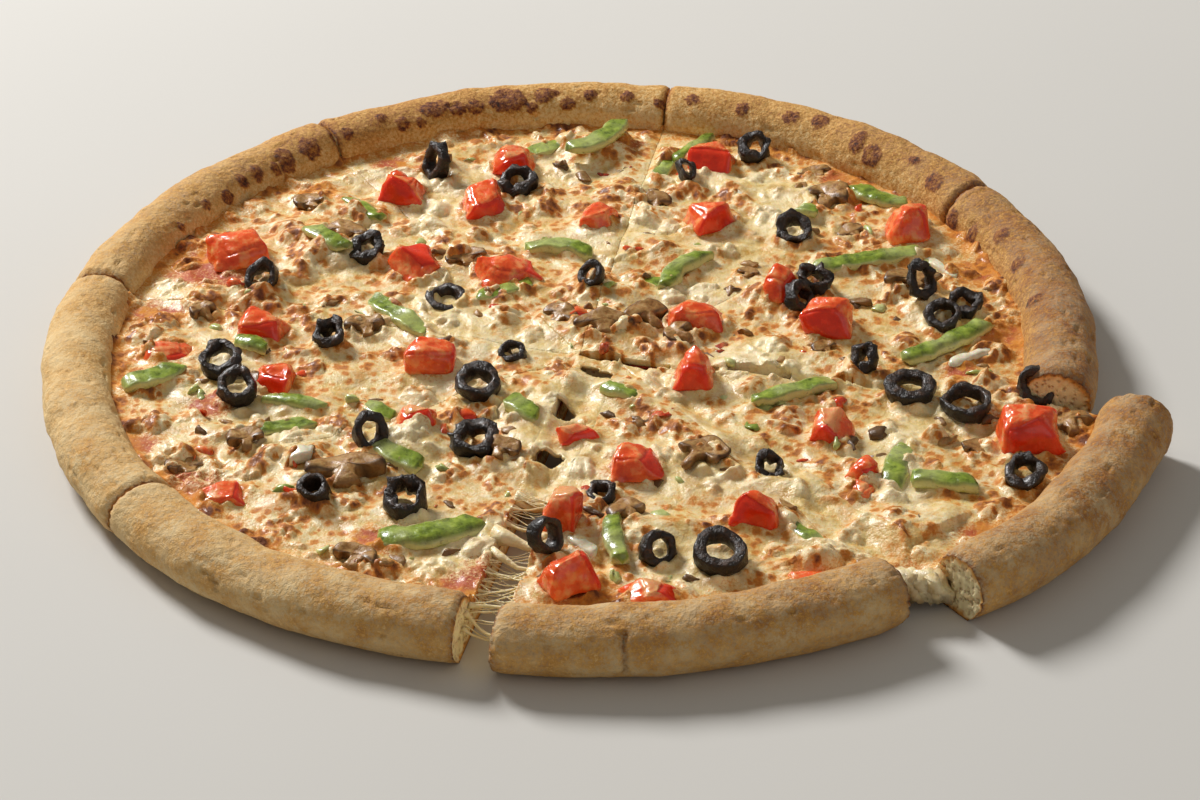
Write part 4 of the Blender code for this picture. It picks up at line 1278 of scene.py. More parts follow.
def melted_cheese(number, first, last, sizes):
    """Cheese of one slice: lumpy melted shreds, browned on top, that meet the rim."""
    step = sizes.cheese_step / MM
    tip = wedge_point(first, last, CHEESE_INSET)
    middle = math.radians((first + last) / 2)
    half = math.radians(last - first) / 2
    long = RIM_RADIUS + GRID_SPARE
    wide = 2 * (long * math.tan(half) + GRID_BEHIND)
    bm = bmesh.new()
    bmesh.ops.create_grid(bm, x_segments=round(long / step), y_segments=round(wide / step), size=0.5)
    bmesh.ops.scale(bm, vec=(long, wide, 1), verts=bm.verts)
    bmesh.ops.translate(bm, vec=(long / 2 - GRID_BEHIND, 0, 0), verts=bm.verts)
    bmesh.ops.rotate(bm, cent=(0, 0, 0), matrix=Matrix.Rotation(middle, 3, "Z"), verts=bm.verts)
    bmesh.ops.translate(bm, vec=(*tip, 0), verts=bm.verts)
    limit = RIM_RADIUS - RIM_HALF_WIDTH + sizes.cheese_under_rim / MM
    beyond = [vert for vert in bm.verts if vert.co.xy.length > limit]
    bmesh.ops.delete(bm, geom=beyond, context="VERTS")
    for bearing, turn in ((first, -90), (last, 90)):
        bmesh.ops.bisect_plane(bm, geom=bm.verts[:] + bm.edges[:] + bm.faces[:], dist=0.001,
                               plane_co=(*tip, 0), plane_no=(*heading(bearing + turn), 0),
                               clear_outer=True)
    loose = [vert for vert in bm.verts if not vert.link_faces]
    bmesh.ops.delete(bm, geom=loose, context="VERTS")
    flat = np.array([vert.co for vert in bm.verts])
    beside = np.full(len(flat), 99.0)
    for bearing, turn in ((first, -90), (last, 90)):
        outward = heading(bearing + turn)
        gap = -((flat[:, 0] - tip.x) * outward.x + (flat[:, 1] - tip.y) * outward.y)
        beside = np.minimum(beside, gap)
    bmesh.ops.transform(bm, matrix=placement(number), verts=bm.verts)
    spots = np.array([vert.co for vert in bm.verts])
    height, values = cheese_surface(number, spots[:, 0], spots[:, 1], sizes)
    shown = 0.15 + 0.85 * eased(waves(spots[:, 0], spots[:, 1], 14, 81), -0.1, 0.6)
    height -= 0.5 * np.exp(-(beside / 0.9) ** 2) * shown
    for vert, rise in zip(bm.verts, height):
        vert.co.z = rise
    for name, value in values.items():
        set_values(bm, name, value)
    close_below(bm, CHEESE_BOTTOM, 3, 0.25)
    finishes = use_materials("melted mozzarella")
    piece_from(bm, f"melted_cheese_{number}", finishes, [f"cheese_{number}"])


def side_of_slice(number, bearing, distances):
    """Two points along a cut side of a slice where it lies now."""
    points = []
    for distance in distances:
        spot = Vector(CUT_POINT) + heading(bearing) * distance
        points.append((placement(number) @ Vector((*spot, 0))).xy)
    return points


def pulled_sheet(index, row, sizes):
    """Sheet of pulled cheese over the gap between two slices, with openings."""
    first, first_bearing, first_ends, second, second_bearing, second_ends, sag = row
    near = side_of_slice(first, first_bearing, first_ends)
    far = side_of_slice(second, second_bearing, second_ends)
    length = (near[1] - near[0]).length
    rows = round(length / SHEET_STEP)
    widest = max((near[0] - far[0]).length, (near[1] - far[1]).length)
    columns = max(10, round((widest + 4) / 0.7))
    along = np.linspace(0, 1, rows + 1)[:, None]
    share = np.linspace(0, 1, columns + 1)[None, :]
    down = along[:, :, None]
    start = np.array(near[0])[None, None] * (1 - down) + np.array(near[1])[None, None] * down
    end = np.array(far[0])[None, None] * (1 - down) + np.array(far[1])[None, None] * down
    gap = np.maximum(np.linalg.norm(end - start, axis=2), 0.5)
    over = SHEET_OVERLAP / gap
    across = share * (1 + 2 * over) - over
    spots = start + (end - start) * across[:, :, None]
    x = spots[:, :, 0]
    y = spots[:, :, 1]
    low, values = cheese_surface(first, x.ravel(), y.ravel(), sizes)
    high, _ = cheese_surface(second, x.ravel(), y.ravel(), sizes)
    low = low.reshape(x.shape)
    high = high.reshape(x.shape)
    blend = eased(across, 0, 1)
    ease = np.sin(np.pi * np.clip(across, 0, 1)) ** 1.7
    height = low * (1 - blend) + high * blend
    deeper = sag + 5 * eased(along, 0.90, 1.0) * (index == 2)
    height = height - deeper * ease + 0.35 * waves(x * 0.8, y, 5, 91) * ease
    hidden = np.clip(np.maximum(-across, across - 1) / over, 0, 1)
    height = height + 0.08 - 1.4 * hidden ** 2
    ends = np.minimum(along, 1 - along) * length
    height = height - 1.5 * np.exp(-(ends / 1.0) ** 2)
    bm = bmesh.new()
    shaped = {name: value.reshape(x.shape) * (0.5 if name == "toast" else 0.85)
              for name, value in values.items()}
    patch(bm, np.stack([x, y, height], axis=2), **shaped)
    gone = []
    for face in bm.faces:
        centre = face.calc_center_median()
        wobble = 0.6 * noise.noise(Vector((centre.x / 3, centre.y / 3, index)))
        if any(oval_distance(centre.x, centre.y, hole) < wobble for hole in PULLED_HOLES):
            gone.append(face)
    bmesh.ops.delete(bm, geom=gone, context="FACES")
    bmesh.ops.smooth_vert(bm, verts=[vert for vert in bm.verts if vert.is_boundary], factor=0.5,
                          use_axis_x=True, use_axis_y=True, use_axis_z=False)
    bm.normal_update()
    if sum(face.normal.z for face in bm.faces) < 0:
        bmesh.ops.reverse_faces(bm, faces=bm.faces)
    bmesh.ops.solidify(bm, geom=bm.faces[:], thickness=SHEET_THICKNESS)
    finishes = use_materials("melted mozzarella")
    piece_from(bm, f"pulled_cheese_{index}", finishes, [f"stretched_cheese_{index}"])


def thread(bm, path, radii, sides=8):
    """Round thread along a path, with closed ends."""
    path = np.array(path, float)
    along = np.gradient(path, axis=0)
    along /= np.linalg.norm(along, axis=1)[:, None]
    aside = np.cross(along, (0, 0, 1))
    aside /= np.linalg.norm(aside, axis=1)[:, None]
    up = np.cross(aside, along)
    turn = np.linspace(0, math.tau, sides + 1)
    ring = np.cos(turn)[None, :, None] * aside[:, None] + np.sin(turn)[None, :, None] * up[:, None]
    part = bmesh.new()
    patch(part, path[:, None] + ring * np.array(radii)[:, None, None])
    bmesh.ops.remove_doubles(part, verts=part.verts, dist=0.0005)
    bmesh.ops.holes_fill(part, edges=open_edges(part), sides=0)
    gather(bm, part)


def cheese_threads():
    """Threads and ropes of cheese across the front gap, and cheese that ran down beside it."""
    random = np.random.default_rng(SEED + 1)
    near = side_of_slice(6, 256.8, (84, 163))
    far = side_of_slice(7, 258.4, (80, 160))
    bm = bmesh.new()
    for name in ("toast", "stain_and_shade", "oil", "puff_and_highlight"):
        bm.verts.layers.float.new(name)
    share = np.linspace(0, 1, THREAD_POINTS)
    for index in range(THREAD_COUNT):
        spot = random.uniform(*BUNDLES[index % len(BUNDLES)])
        start = np.array(near[0].lerp(near[1], spot))
        end = np.array(far[0].lerp(far[1], min(1, max(0, spot + random.uniform(-0.09, 0.09)))))
        top = 11.8 - 4.5 * spot * random.random()
        low = 11.6 - 6.5 * spot * random.random()
        sag = random.uniform(0.2, 2.2)
        path = []
        for part in share:
            x, y = start + (end - start) * (part * 1.12 - 0.06)
            wave = 0.35 * math.sin(part * 9 + index)
            path.append((x, y + wave, top + (low - top) * part - sag * math.sin(math.pi * part)))
        thick = random.choice(THREAD_RADII, p=THREAD_SHARES)
        radii = thick * (1 + 1.6 * (2 * share - 1) ** 4)
        thread(bm, path, radii)
    for path, radii in ROPES:
        thread(bm, path, radii, 12)
    # Cheese that ran down between the two moved slices, lowest beside the right one
    count = len(bm.verts)
    for index in range(RUN_COUNT):
        side = index / (RUN_COUNT - 1)
        top = (97 + 13 * side, -141 - 3 * side + random.uniform(-1, 1), 11.5)
        low = 1.6 + 4.8 * (1 - side) ** 1.4 + random.uniform(-0.2, 1.0)
        foot = (101 + 15 * side, -146.5 + 3 * side, low)
        middle = (foot[0] - 1, foot[1] - 1, 0.45 * foot[2] + 0.55 * 10.5 + random.uniform(-0.6, 0.6))
        rope = [top, (top[0] + 1.5, top[1] - 2.5, 11.0), middle, foot]
        radii = (2.6, *(random.uniform(*ends) for ends in ((2.2, 3.2), (1.5, 2.8), (0.7, 1.3))))
        thread(bm, rope, radii, 12)
    bm.verts.ensure_lookup_table()
    for vert in bm.verts[count:]:
        vert.co += noise.noise_vector(vert.co / 3.4) * 1.3
    oily = [0.25 + 0.9 * noise.noise(vert.co / 5) if place >= count else 0
            for place, vert in enumerate(bm.verts)]
    set_values(bm, "oil", np.clip(oily, 0, 1))
    set_values(bm, "puff_and_highlight", np.full(len(bm.verts), 0.70))
    finishes = use_materials("melted mozzarella")
    piece_from(bm, "cheese_threads", finishes)


def crumple(bm, drift, coarse, fine):
    """Push the points about with two smooth reliefs, each a width and a depth."""
    drift = Vector(drift)
    for vert in bm.verts:
        push = noise.noise_vector(vert.co / coarse[0] + drift) * coarse[1]
        vert.co += push + noise.noise_vector(vert.co / fine[0] + drift) * fine[1]


def tomato_dice(seed, length, width, height, skin):
    """Diced tomato about its own middle: a soft block with skin on one side."""
    bm = bmesh.new()
    bmesh.ops.create_cube(bm, size=1)
    bmesh.ops.subdivide_edges(bm, edges=bm.edges[:], cuts=DICE_CUTS, use_grid_fill=True)
    cube = np.array([vert.co for vert in bm.verts])
    size = np.array((length, width, height), float)
    radius = 0.16 * size.min() + 0.5
    full = cube * size
    core = np.clip(full, -(size / 2 - radius), size / 2 - radius)
    away = full - core
    away *= radius / np.maximum(np.linalg.norm(away, axis=1), 1e-6)[:, None]
    block = core + away
    rise = cube[:, 2] + 0.5
    for corner in range(8):
        signs = [1 if corner >> axis & 1 else -1 for axis in range(3)]
        weight = np.prod([0.5 + signs[axis] * cube[:, axis] for axis in range(3)], axis=0)
        for axis in range(3):
            upper = signs[2] > 0
            least, most = (0.92, 0.46) if upper else (0.45, 0.20)
            push = (hashed(seed, corner + 0.5, axis) - least) * most
            if upper or axis < 2:
                block[:, axis] += weight * push * size[axis] * signs[axis]
    side = {"top": cube[:, 2], "front": -cube[:, 1], "right": cube[:, 0], "left": -cube[:, 0]}[skin]
    peel = eased(side, 0.40, 0.49)
    middle = 1 - np.clip((np.linalg.norm(cube, axis=1) - 0.5) / 0.37, 0, 1)
    char = np.zeros(len(block))
    for index, (vert, spot) in enumerate(zip(bm.verts, block)):
        here = Vector(spot)
        drift = Vector((seed * 3.3, seed * 1.9, seed * 0.7))
        soft = noise.noise_vector(here / 7.5 + drift) * 1.25
        lumps = noise.noise_vector(here / 3.0 + drift) * 0.5 * (1 - 0.75 * peel[index])
        creases = noise.noise_vector(here / 1.5 + drift) * 0.16 * (1 - 0.8 * peel[index])
        vert.co = here + soft + lumps + creases + here.normalized() * 0.7 * middle[index]
        char[index] = noise.noise(here / 2.2 + drift)
    corner = np.linalg.norm(np.maximum(abs(cube) - 0.36, 0), axis=1) / 0.14
    set_values(bm, "skin", peel)
    film = max(0, hashed(seed, 3, 5) - 0.25)
    set_values(bm, "melt", eased(cube[:, 2], 0.20, 0.5) * 0.9 * film * (1 - peel))
    set_values(bm, "char", np.clip(0.12 * corner * rise + 0.25 * char * rise, 0, 1))
    return bm


def olive_ring(seed, outer, height, detail):
    """Cut ring of an olive about its own middle, with a rounded edge and a wide hole."""
    rounds = 14 if detail else 10
    hole = outer * (0.235 + 0.07 * hashed(seed, 1, 2))
    wall = (outer / 2 - hole) / 2
    bm = bmesh.new()
    verts = []
    for turn in np.linspace(0, math.tau, rounds, endpoint=False):
        across = math.copysign(abs(math.cos(turn)) ** 0.45, math.cos(turn))
        up = math.copysign(abs(math.sin(turn)) ** 0.45, math.sin(turn))
        verts.append(bm.verts.new((hole + wall + wall * across, 0, height / 2 * up)))
    edges = [bm.edges.new((verts[index], verts[(index + 1) % rounds])) for index in range(rounds)]
    bmesh.ops.spin(bm, geom=verts + edges, cent=(0, 0, 0), axis=(0, 0, 1), dvec=(0, 0, 0),
                   angle=math.tau, steps=44 if detail else 30, use_merge=True)
    skin = []
    squash = 0.80 + 0.26 * hashed(seed, 2, 4)
    crushed = 0.6 + (0.6 if detail else 1.6) * hashed(seed, 5, 3)
    for vert in bm.verts:
        away = vert.co.xy.length
        skin.append(eased(away, outer / 2 - wall * 0.55, outer / 2 - wall * 0.1))
        drift = Vector((seed * 2.3, seed, seed * 1.7))
        soft = noise.noise_vector(vert.co / 9 + drift) * 1.5
        dents = noise.noise_vector(vert.co / 3.2 + drift) * crushed
        dents += noise.noise_vector(vert.co / 1.3 + drift) * 0.3
        vert.co.x *= squash
        vert.co += soft + dents
    set_values(bm, "skin", np.array(skin))
    return bm


def strip_bar(seed, length, width, height, bend, arch, detail=True):
    """Curved strip of pepper or onion about its own middle, skin upwards."""
    stations = (40 if detail else 24) + 1
    sides = 18 if detail else 14
    share = np.linspace(-1, 1, stations)
    angle = math.radians(bend) if bend else 1e-4
    radius = length / angle
    turn = share * length / 2 / radius
    rise = radius * (1 - math.cos(angle / 4))
    x = radius * np.sin(turn)
    y = radius - radius * np.cos(turn) - rise
    z = arch * (1 - share ** 2) + 0.5 * waves(share * length / 2, share * 0, 9, seed)
    ends = np.sqrt(np.clip(1 - abs(share) ** 26, 0, 1))
    ends = np.maximum(ends, 0.02)
    swell = 1 + 0.14 * waves(share * length / 2, share * 0 + 3, 6, seed + 1)
    wide = width / 2 * (1 - 0.22 * abs(share) ** 3) * swell
    ring = np.linspace(0, math.tau, sides + 1)
    across = np.sign(np.cos(ring)) * abs(np.cos(ring)) ** 0.28
    up = np.sign(np.sin(ring)) * abs(np.sin(ring)) ** 0.4
    cup = 0.24 * height * (1 - across ** 2)
    points = np.zeros((stations, sides + 1, 3))
    side_x = -np.sin(turn)[:, None]
    side_y = np.cos(turn)[:, None]
    offset = wide[:, None] * across[None, :] * ends[:, None]
    slant = 1.6 * (hashed(seed, 6, 1) - 0.5) * offset * abs(share[:, None]) ** 3
    points[:, :, 0] = x[:, None] + side_x * offset + slant
    points[:, :, 1] = y[:, None] + side_y * offset
    dents = waves(share[:, None] * length / 18, across[None, :] * 1.6, 1, seed)
    ridges = 0.35 * np.cos(across * 7 + seed)[None, :] + 0.5 * dents
    profile = height * 0.34 * up[None, :] + cup[None, :] + ridges * (up > 0)
    points[:, :, 2] = z[:, None] + profile * ends[:, None]
    skin = np.tile(eased(up, 0.2, 0.8)[None, :], (stations, 1))
    pale = 0.35 * eased(waves(share * length / 2, share * 0 + 8, 11, seed + 2), -0.1, 0.6)[:, None]
    pale = np.maximum(pale, 0.8 * np.exp(-((abs(across) - 1) / 0.12) ** 2)[None, :] * (up > -0.5))
    bm = bmesh.new()
    patch(bm, points, skin=skin, pale=pale)
    bmesh.ops.remove_doubles(bm, verts=bm.verts, dist=MERGE_GAP)
    bmesh.ops.holes_fill(bm, edges=open_edges(bm), sides=0)
    crumple(bm, (seed * 1.3, seed * 2.1, seed), (4.5, 0.7), (1.8, 0.25))
    return bm


def mushroom_slice(seed, cap, length, height):
    """Slice through a mushroom about its own middle: domed cap, gills and a short stem."""
    outline = [(math.cos(turn) * 0.5, math.sin(turn) * 0.58)
               for turn in np.linspace(-0.12, math.pi + 0.12, 19)]
    stem = [(0.40, -0.13), (0.24, -0.05), (0.15, -0.12), (0.12, -0.30), (0.15, -0.44)]
    outline += [(-x, y) for x, y in stem] + [(0.0, -0.48)] + stem[::-1]
    outline.append(outline[0])
    points = np.array(outline)
    steps = np.concatenate([[0], np.cumsum(np.linalg.norm(np.diff(points, axis=0), axis=1))])
    place = np.linspace(0, steps[-1], 49)
    edge_x = np.interp(place, steps, points[:, 0])
    edge_y = np.interp(place, steps, points[:, 1])
    shares = np.array([0, 0.25, 0.5, 0.7, 0.85, 0.95, 1.0, 1.0, 0.95, 0.85, 0.6, 0.3, 0])
    levels = np.array([0.5, 0.49, 0.47, 0.45, 0.42, 0.32, 0.12, -0.12, -0.32, -0.42, -0.46, -0.5, -0.5])
    grid = np.zeros((len(shares), len(place), 3))
    centre_y = 0.06
    grid[:, :, 0] = shares[:, None] * edge_x[None, :] * cap
    grid[:, :, 1] = (centre_y + shares[:, None] * (edge_y[None, :] - centre_y)) * length
    thick = height * 0.75
    curl = 0.10 * ((grid[:, :, 0] / cap * 2) ** 2) * height
    grid[:, :, 2] = levels[:, None] * thick + curl
    rim = eased(shares, 0.80, 1.0)[:, None] * np.ones((1, len(place)))
    cap_part = eased(grid[:, :, 1] / length, 0.0, 0.12)
    gills = np.exp(-((grid[:, :, 1] / length + 0.01) / 0.055) ** 2)
    gills = gills * eased(abs(grid[:, :, 0]) / cap, 0.10, 0.2)
    dark = np.clip(rim * (0.35 + 0.6 * cap_part) + 0.85 * gills, 0, 1)
    bm = bmesh.new()
    patch(bm, grid, dark=dark)
    bmesh.ops.remove_doubles(bm, verts=bm.verts, dist=MERGE_GAP)
    crumple(bm, (seed * 2.7, seed * 1.1, seed), (8, 1.7), (2.5, 0.6))
    return bm


def lay(bm, x, y, turn, tilt, base):
    """Turn and tilt a piece and set its lowest point at a height."""
    spin = Matrix.Rotation(math.radians(turn), 4, "Z") @ Matrix.Rotation(math.radians(tilt), 4, "X")
    bmesh.ops.transform(bm, matrix=spin, verts=bm.verts)
    lowest = min(vert.co.z for vert in bm.verts)
    bmesh.ops.translate(bm, vec=(x, y, base - lowest), verts=bm.verts)
    return bm


def sink(whole, bm, x, y, turn, tilt, share):
    """Set a small topping into the cheese, by a share of the depth, and add it to its group."""
    sizes = bpy.context.scene.pizza_sizes
    base = ground(x, y, sizes) - share * sizes.small_sink / MM
    gather(whole, lay(bm, x, y, turn, tilt, base))


def slice_at(x, y):
    """Number of the slice that a spot lies on."""
    for number, first, last in reversed(SLICES):
        before = (placement(number).inverted() @ Vector((x, y, 0))).xy - Vector(CUT_POINT)
        bearing = math.degrees(math.atan2(before.y, before.x))
        if any(first <= bearing + full <= last for full in (0, 360)):
            return number
    return 1


def ground(x, y, sizes):
    """Height of the cheese at one spot."""
    height, _ = cheese_surface(slice_at(x, y), np.array([x], float), np.array([y], float), sizes)
    return float(height[0])


def scattered_spots(seed, count, sizes):
    """Random spots on the cheese, away from the loose toppings, with the height of the cheese."""
    random = np.random.default_rng(SEED + seed)
    found = []
    for number, first, last in SLICES:
        share = (last - first) / 360
        ray = np.radians(random.uniform(first + 2, last - 2, round(2 * count * share)))
        away = BIT_REACH * np.sqrt(random.random(len(ray)))
        x = CUT_POINT[0] + np.cos(ray) * away
        y = CUT_POINT[1] + np.sin(ray) * away
        keep = np.hypot(x, y) < RIM_RADIUS - RIM_HALF_WIDTH - 4
        move = placement(number)
        spots = [(move @ Vector((*spot, 0))).xy for spot in zip(x[keep], y[keep])]
        x, y = np.array(spots).T
        keep = rough(x, y, 30, 101 + seed, 2) + 0.5 * np.exp(-np.hypot(x - 15, y + 10) / 25) > -0.08
        for oval in loose_ovals():
            keep &= oval_distance(x, y, oval) > 1.0
        x = x[keep]
        y = y[keep]
        if len(x):
            height, _ = cheese_surface(number, x, y, sizes)
            found += list(zip(x, y, height))
    return found


def crumb_bit(seed, long, wide, high):
    """Small uneven scrap of a topping."""
    bm = bmesh.new()
    bmesh.ops.create_icosphere(bm, subdivisions=2, radius=0.5)
    bmesh.ops.scale(bm, vec=(long, wide, high), verts=bm.verts)
    crumple(bm, (seed, seed * 1.3, seed * 0.6), (3.5, 1.8), (1.4, 0.5))
    return bm


class PizzaSizes(bpy.types.PropertyGroup):
    """Sizes that shape the baked pizza."""

    rim_relief: FloatProperty(name="Rim relief", description="How lumpy the rolled rim is",
                              default=1.0, min=0, max=2)
    cheese_relief: FloatProperty(name="Cheese relief", description="How lumpy the melted cheese is",
                                 default=1.15, min=0, max=2)
    cheese_step: FloatProperty(name="Cheese fineness",
                               description="Distance between points of the cheese mesh",
                               default=0.00062, min=0.0003, max=0.003, unit="LENGTH", precision=5)
    cheese_under_rim: FloatProperty(name="Cheese under the rim",
                                    description="How far the cheese runs into the rim",
                                    default=0.0018, min=0, max=0.004, unit="LENGTH", precision=4)
    edge_browning: FloatProperty(name="Edge browning",
                                 description="How brown the cheese is along the rim",
                                 default=0.7, min=0, max=1, subtype="FACTOR")
    topping_sink: FloatProperty(name="Topping sink",
                                description="How deep the loose toppings sit in the cheese",
                                default=0.0008, min=0, max=0.003, unit="LENGTH", precision=4)
    small_sink: FloatProperty(name="Small topping sink", description="How deep the small toppings sit",
                              default=0.0024, min=0, max=0.005, unit="LENGTH", precision=4)
    lens: FloatProperty(name="Lens", description="Focal length of the camera",
                        default=99.97, unit="CAMERA")


def colour_property(name, description, code):
    """Colour setting with its default given as sRGB hex."""
    return FloatVectorProperty(name=name, description=description, default=linear(code), subtype="COLOR",
                               size=3, min=0, max=1)


class PizzaColours(bpy.types.PropertyGroup):
    """Colours of the finishes."""

    dough_pale: colour_property("Pale dough", "Dough that is hardly browned", "#e6c78e")
    dough_gold: colour_property("Golden dough", "Lightly baked dough", "#d09b4c")
    dough_brown: colour_property("Brown dough", "Well baked dough", "#aa702f")
    dough_dark: colour_property("Dark dough", "Blistered dough", "#74381a")
    dough_burnt: colour_property("Burnt dough", "Darkest blisters", "#34180c")
    flour: colour_property("Flour", "Flour baked onto the rim", "#e9d2a0")
    crumb: colour_property("Crumb", "Inside of the dough", "#f8e6b4")
    crumb_gold: colour_property("Golden crumb", "Inside of the dough near its skin", "#dda353")
    sauce: colour_property("Sauce", "Tomato sauce", "#b53c16")
    sauce_dark: colour_property("Dark sauce", "Sauce in its hollows", "#7c1c0a")
    cheese: colour_property("Cheese", "Melted cheese", "#e8cd8b")
    # Colour of the raised lumps: partly puffed cheese, partly a painted highlight.
    cheese_white_and_highlight: colour_property("White cheese", "Puffed cheese", "#f3e1b4")
    cheese_yellow: colour_property("Yellow cheese", "Thin cheese", "#c8983f")
    # Colour of the hollows: partly pooled oil, partly painted shade.
    cheese_oil_and_shade: colour_property("Oily cheese", "Cheese in its hollows, clear with oil", "#ac7828")
    cheese_tinted: colour_property("Tinted cheese", "Cheese tinted by the oil of the sauce", "#d9994a")
    cheese_sauced: colour_property("Sauced cheese", "Cheese with the sauce showing", "#ad4716")
    toast_gold: colour_property("Golden toast", "Lightly browned cheese", "#dfa040")
    toast_orange: colour_property("Orange toast", "Browned cheese", "#c87a26")
    toast_brown: colour_property("Brown toast", "Well browned cheese", "#9a5a1f")
    toast_dark: colour_property("Dark toast", "Darkest spots of the cheese", "#6a3412")
    tomato_skin: colour_property("Tomato skin", "Bright side of the skin", "#f23e14")
    tomato_dark: colour_property("Dark tomato skin", "Dark side of the skin", "#d92e0e")
    tomato_flesh: colour_property("Tomato flesh", "Roasted flesh", "#f2642a")
    tomato_light: colour_property("Light tomato flesh", "Pale fibres of the flesh", "#fcaa66")
    tomato_deep: colour_property("Deep tomato flesh", "Wet hollows of the flesh", "#dd4516")
    tomato_filmed: colour_property("Filmed tomato", "Flesh under a film of cheese", "#eaa56c")
    tomato_char: colour_property("Charred tomato", "Scorched corners", "#6b2413")
    olive: colour_property("Olive skin", "Skin of the olive", "#170f0b")
    olive_cut: colour_property("Olive cut", "Cut face of the olive", "#2f2017")
    olive_brown: colour_property("Olive brown", "Brown tint of the cut face", "#5c3d26")
    pepper: colour_property("Pepper skin", "Skin of the pepper", "#7e9226")
    pepper_dark: colour_property("Dark pepper skin", "Folds of the skin", "#4a5a16")
    pepper_light: colour_property("Light pepper", "Light skin and wet flesh", "#a8b944")
    pepper_flesh: colour_property("Pepper flesh", "Cut flesh of the pepper", "#d4d494")
    pepper_scorch: colour_property("Scorched pepper", "Scorched spots", "#4a3a17")
    mushroom: colour_property("Mushroom", "Baked flesh", "#a87b42")
    mushroom_pale: colour_property("Pale mushroom", "Pale flesh", "#caa365")
    mushroom_brown: colour_property("Brown mushroom", "Browned flesh", "#7a4f26")
    mushroom_dark: colour_property("Dark mushroom", "Skin of the cap and gills", "#3d2514")
    onion: colour_property("Onion", "Softened onion", "#efe7cf")
    onion_shade: colour_property("Onion shade", "Shaded onion", "#d9cda6")
    floor: colour_property("Floor", "Floor of the stage", "#cfccc6")


class PIZZA_OT_crusts(bpy.types.Operator):
    """Bake the dough of every slice"""

    bl_idname = "pizza.crusts"
    bl_label = "Crusts"

    def execute(self, context):
        for number, first, last in SLICES:
            baked_crust(number, first, last, context.scene.pizza_sizes)
        return {"FINISHED"}


class PIZZA_OT_sauce(bpy.types.Operator):
    """Spread the sauce of every slice"""

    bl_idname = "pizza.sauce"
    bl_label = "Sauce"

    def execute(self, context):
        for number, first, last in SLICES:
            sauce_layer(number, first, last)
        return {"FINISHED"}


class PIZZA_OT_cheese(bpy.types.Operator):
    """Melt the cheese of every slice"""

    bl_idname = "pizza.cheese"
    bl_label = "Cheese"

    def execute(self, context):
        for number, first, last in SLICES:
            melted_cheese(number, first, last, context.scene.pizza_sizes)
        return {"FINISHED"}


class PIZZA_OT_pulled_cheese(bpy.types.Operator):
    """Stretch the cheese over the gaps beside the moved slices"""

    bl_idname = "pizza.pulled_cheese"
    bl_label = "Pulled cheese"

    def execute(self, context):
        for index, row in enumerate(PULLED_SHEETS, 1):
            pulled_sheet(index, row, context.scene.pizza_sizes)
        cheese_threads()
        return {"FINISHED"}


class PIZZA_OT_tomatoes(bpy.types.Operator):
    """Lay the diced tomatoes"""

    bl_idname = "pizza.tomatoes"
    bl_label = "Tomatoes"

    def execute(self, context):
        sizes = context.scene.pizza_sizes
        finishes = use_materials("roasted tomato")
        for index, (turn, length, width, height, tilt, skin) in enumerate(TOMATO_NODES, 1):
            node = f"tomato_{index}"
            bm = tomato_dice(index, length, width, height, skin)
            lay(bm, *node_middle(node), turn, tilt, node_base(node) - 2 * sizes.topping_sink / MM)
            piece_from(bm, f"diced_tomato_{index}", finishes, [node])
        whole = bmesh.new()
        for index, row in enumerate(SMALL_TOMATOES, SMALL_SEED):
            x, y, turn, length, width, height, tilt, skin = row
            bm = tomato_dice(index, length, width, height, skin)
            sink(whole, bm, x, y, turn, tilt, 1.0)
        piece_from(whole, "small_tomatoes", finishes)
        return {"FINISHED"}


class PIZZA_OT_olives(bpy.types.Operator):
    """Lay the olive rings"""

    bl_idname = "pizza.olives"
    bl_label = "Olives"

    def execute(self, context):
        sizes = context.scene.pizza_sizes
        finishes = use_materials("ripe black olive")
        for index, (turn, outer, height, tilt) in enumerate(OLIVE_NODES, 1):
            node = f"olive_{index}"
            bm = olive_ring(index, outer, height, True)
            lay(bm, *node_middle(node), turn, tilt, node_base(node) - sizes.topping_sink / MM)
            piece_from(bm, f"olive_ring_{index}", finishes, [node])
        whole = bmesh.new()
        for index, (x, y, turn, outer, height, tilt) in enumerate(SMALL_OLIVES, SMALL_SEED):
            bm = olive_ring(index, outer, height, False)
            sink(whole, bm, x, y, turn, tilt, 1.3)
        piece_from(whole, "small_olives", finishes)
        return {"FINISHED"}


class PIZZA_OT_peppers(bpy.types.Operator):
    """Lay the strips of pepper"""

    bl_idname = "pizza.peppers"
    bl_label = "Peppers"

    def execute(self, context):
        sizes = context.scene.pizza_sizes
        finishes = use_materials("roasted green pepper")
        for index, (turn, length, width, height, bend) in enumerate(PEPPER_NODES, 1):
            node = f"pepper_{index}"
            bm = strip_bar(index, length, width, height, bend, 0.8)
            lay(bm, *node_middle(node), turn, 0, node_base(node) - sizes.topping_sink / MM)
            piece_from(bm, f"pepper_strip_{index}", finishes, [node])
        whole = bmesh.new()
        for index, (x, y, turn, length, width, height, bend) in enumerate(SMALL_PEPPERS, SMALL_SEED):
            bm = strip_bar(index, length, width, height, bend, 0.8, False)
            sink(whole, bm, x, y, turn, 0, 0.6)
        piece_from(whole, "small_peppers", finishes)
        return {"FINISHED"}


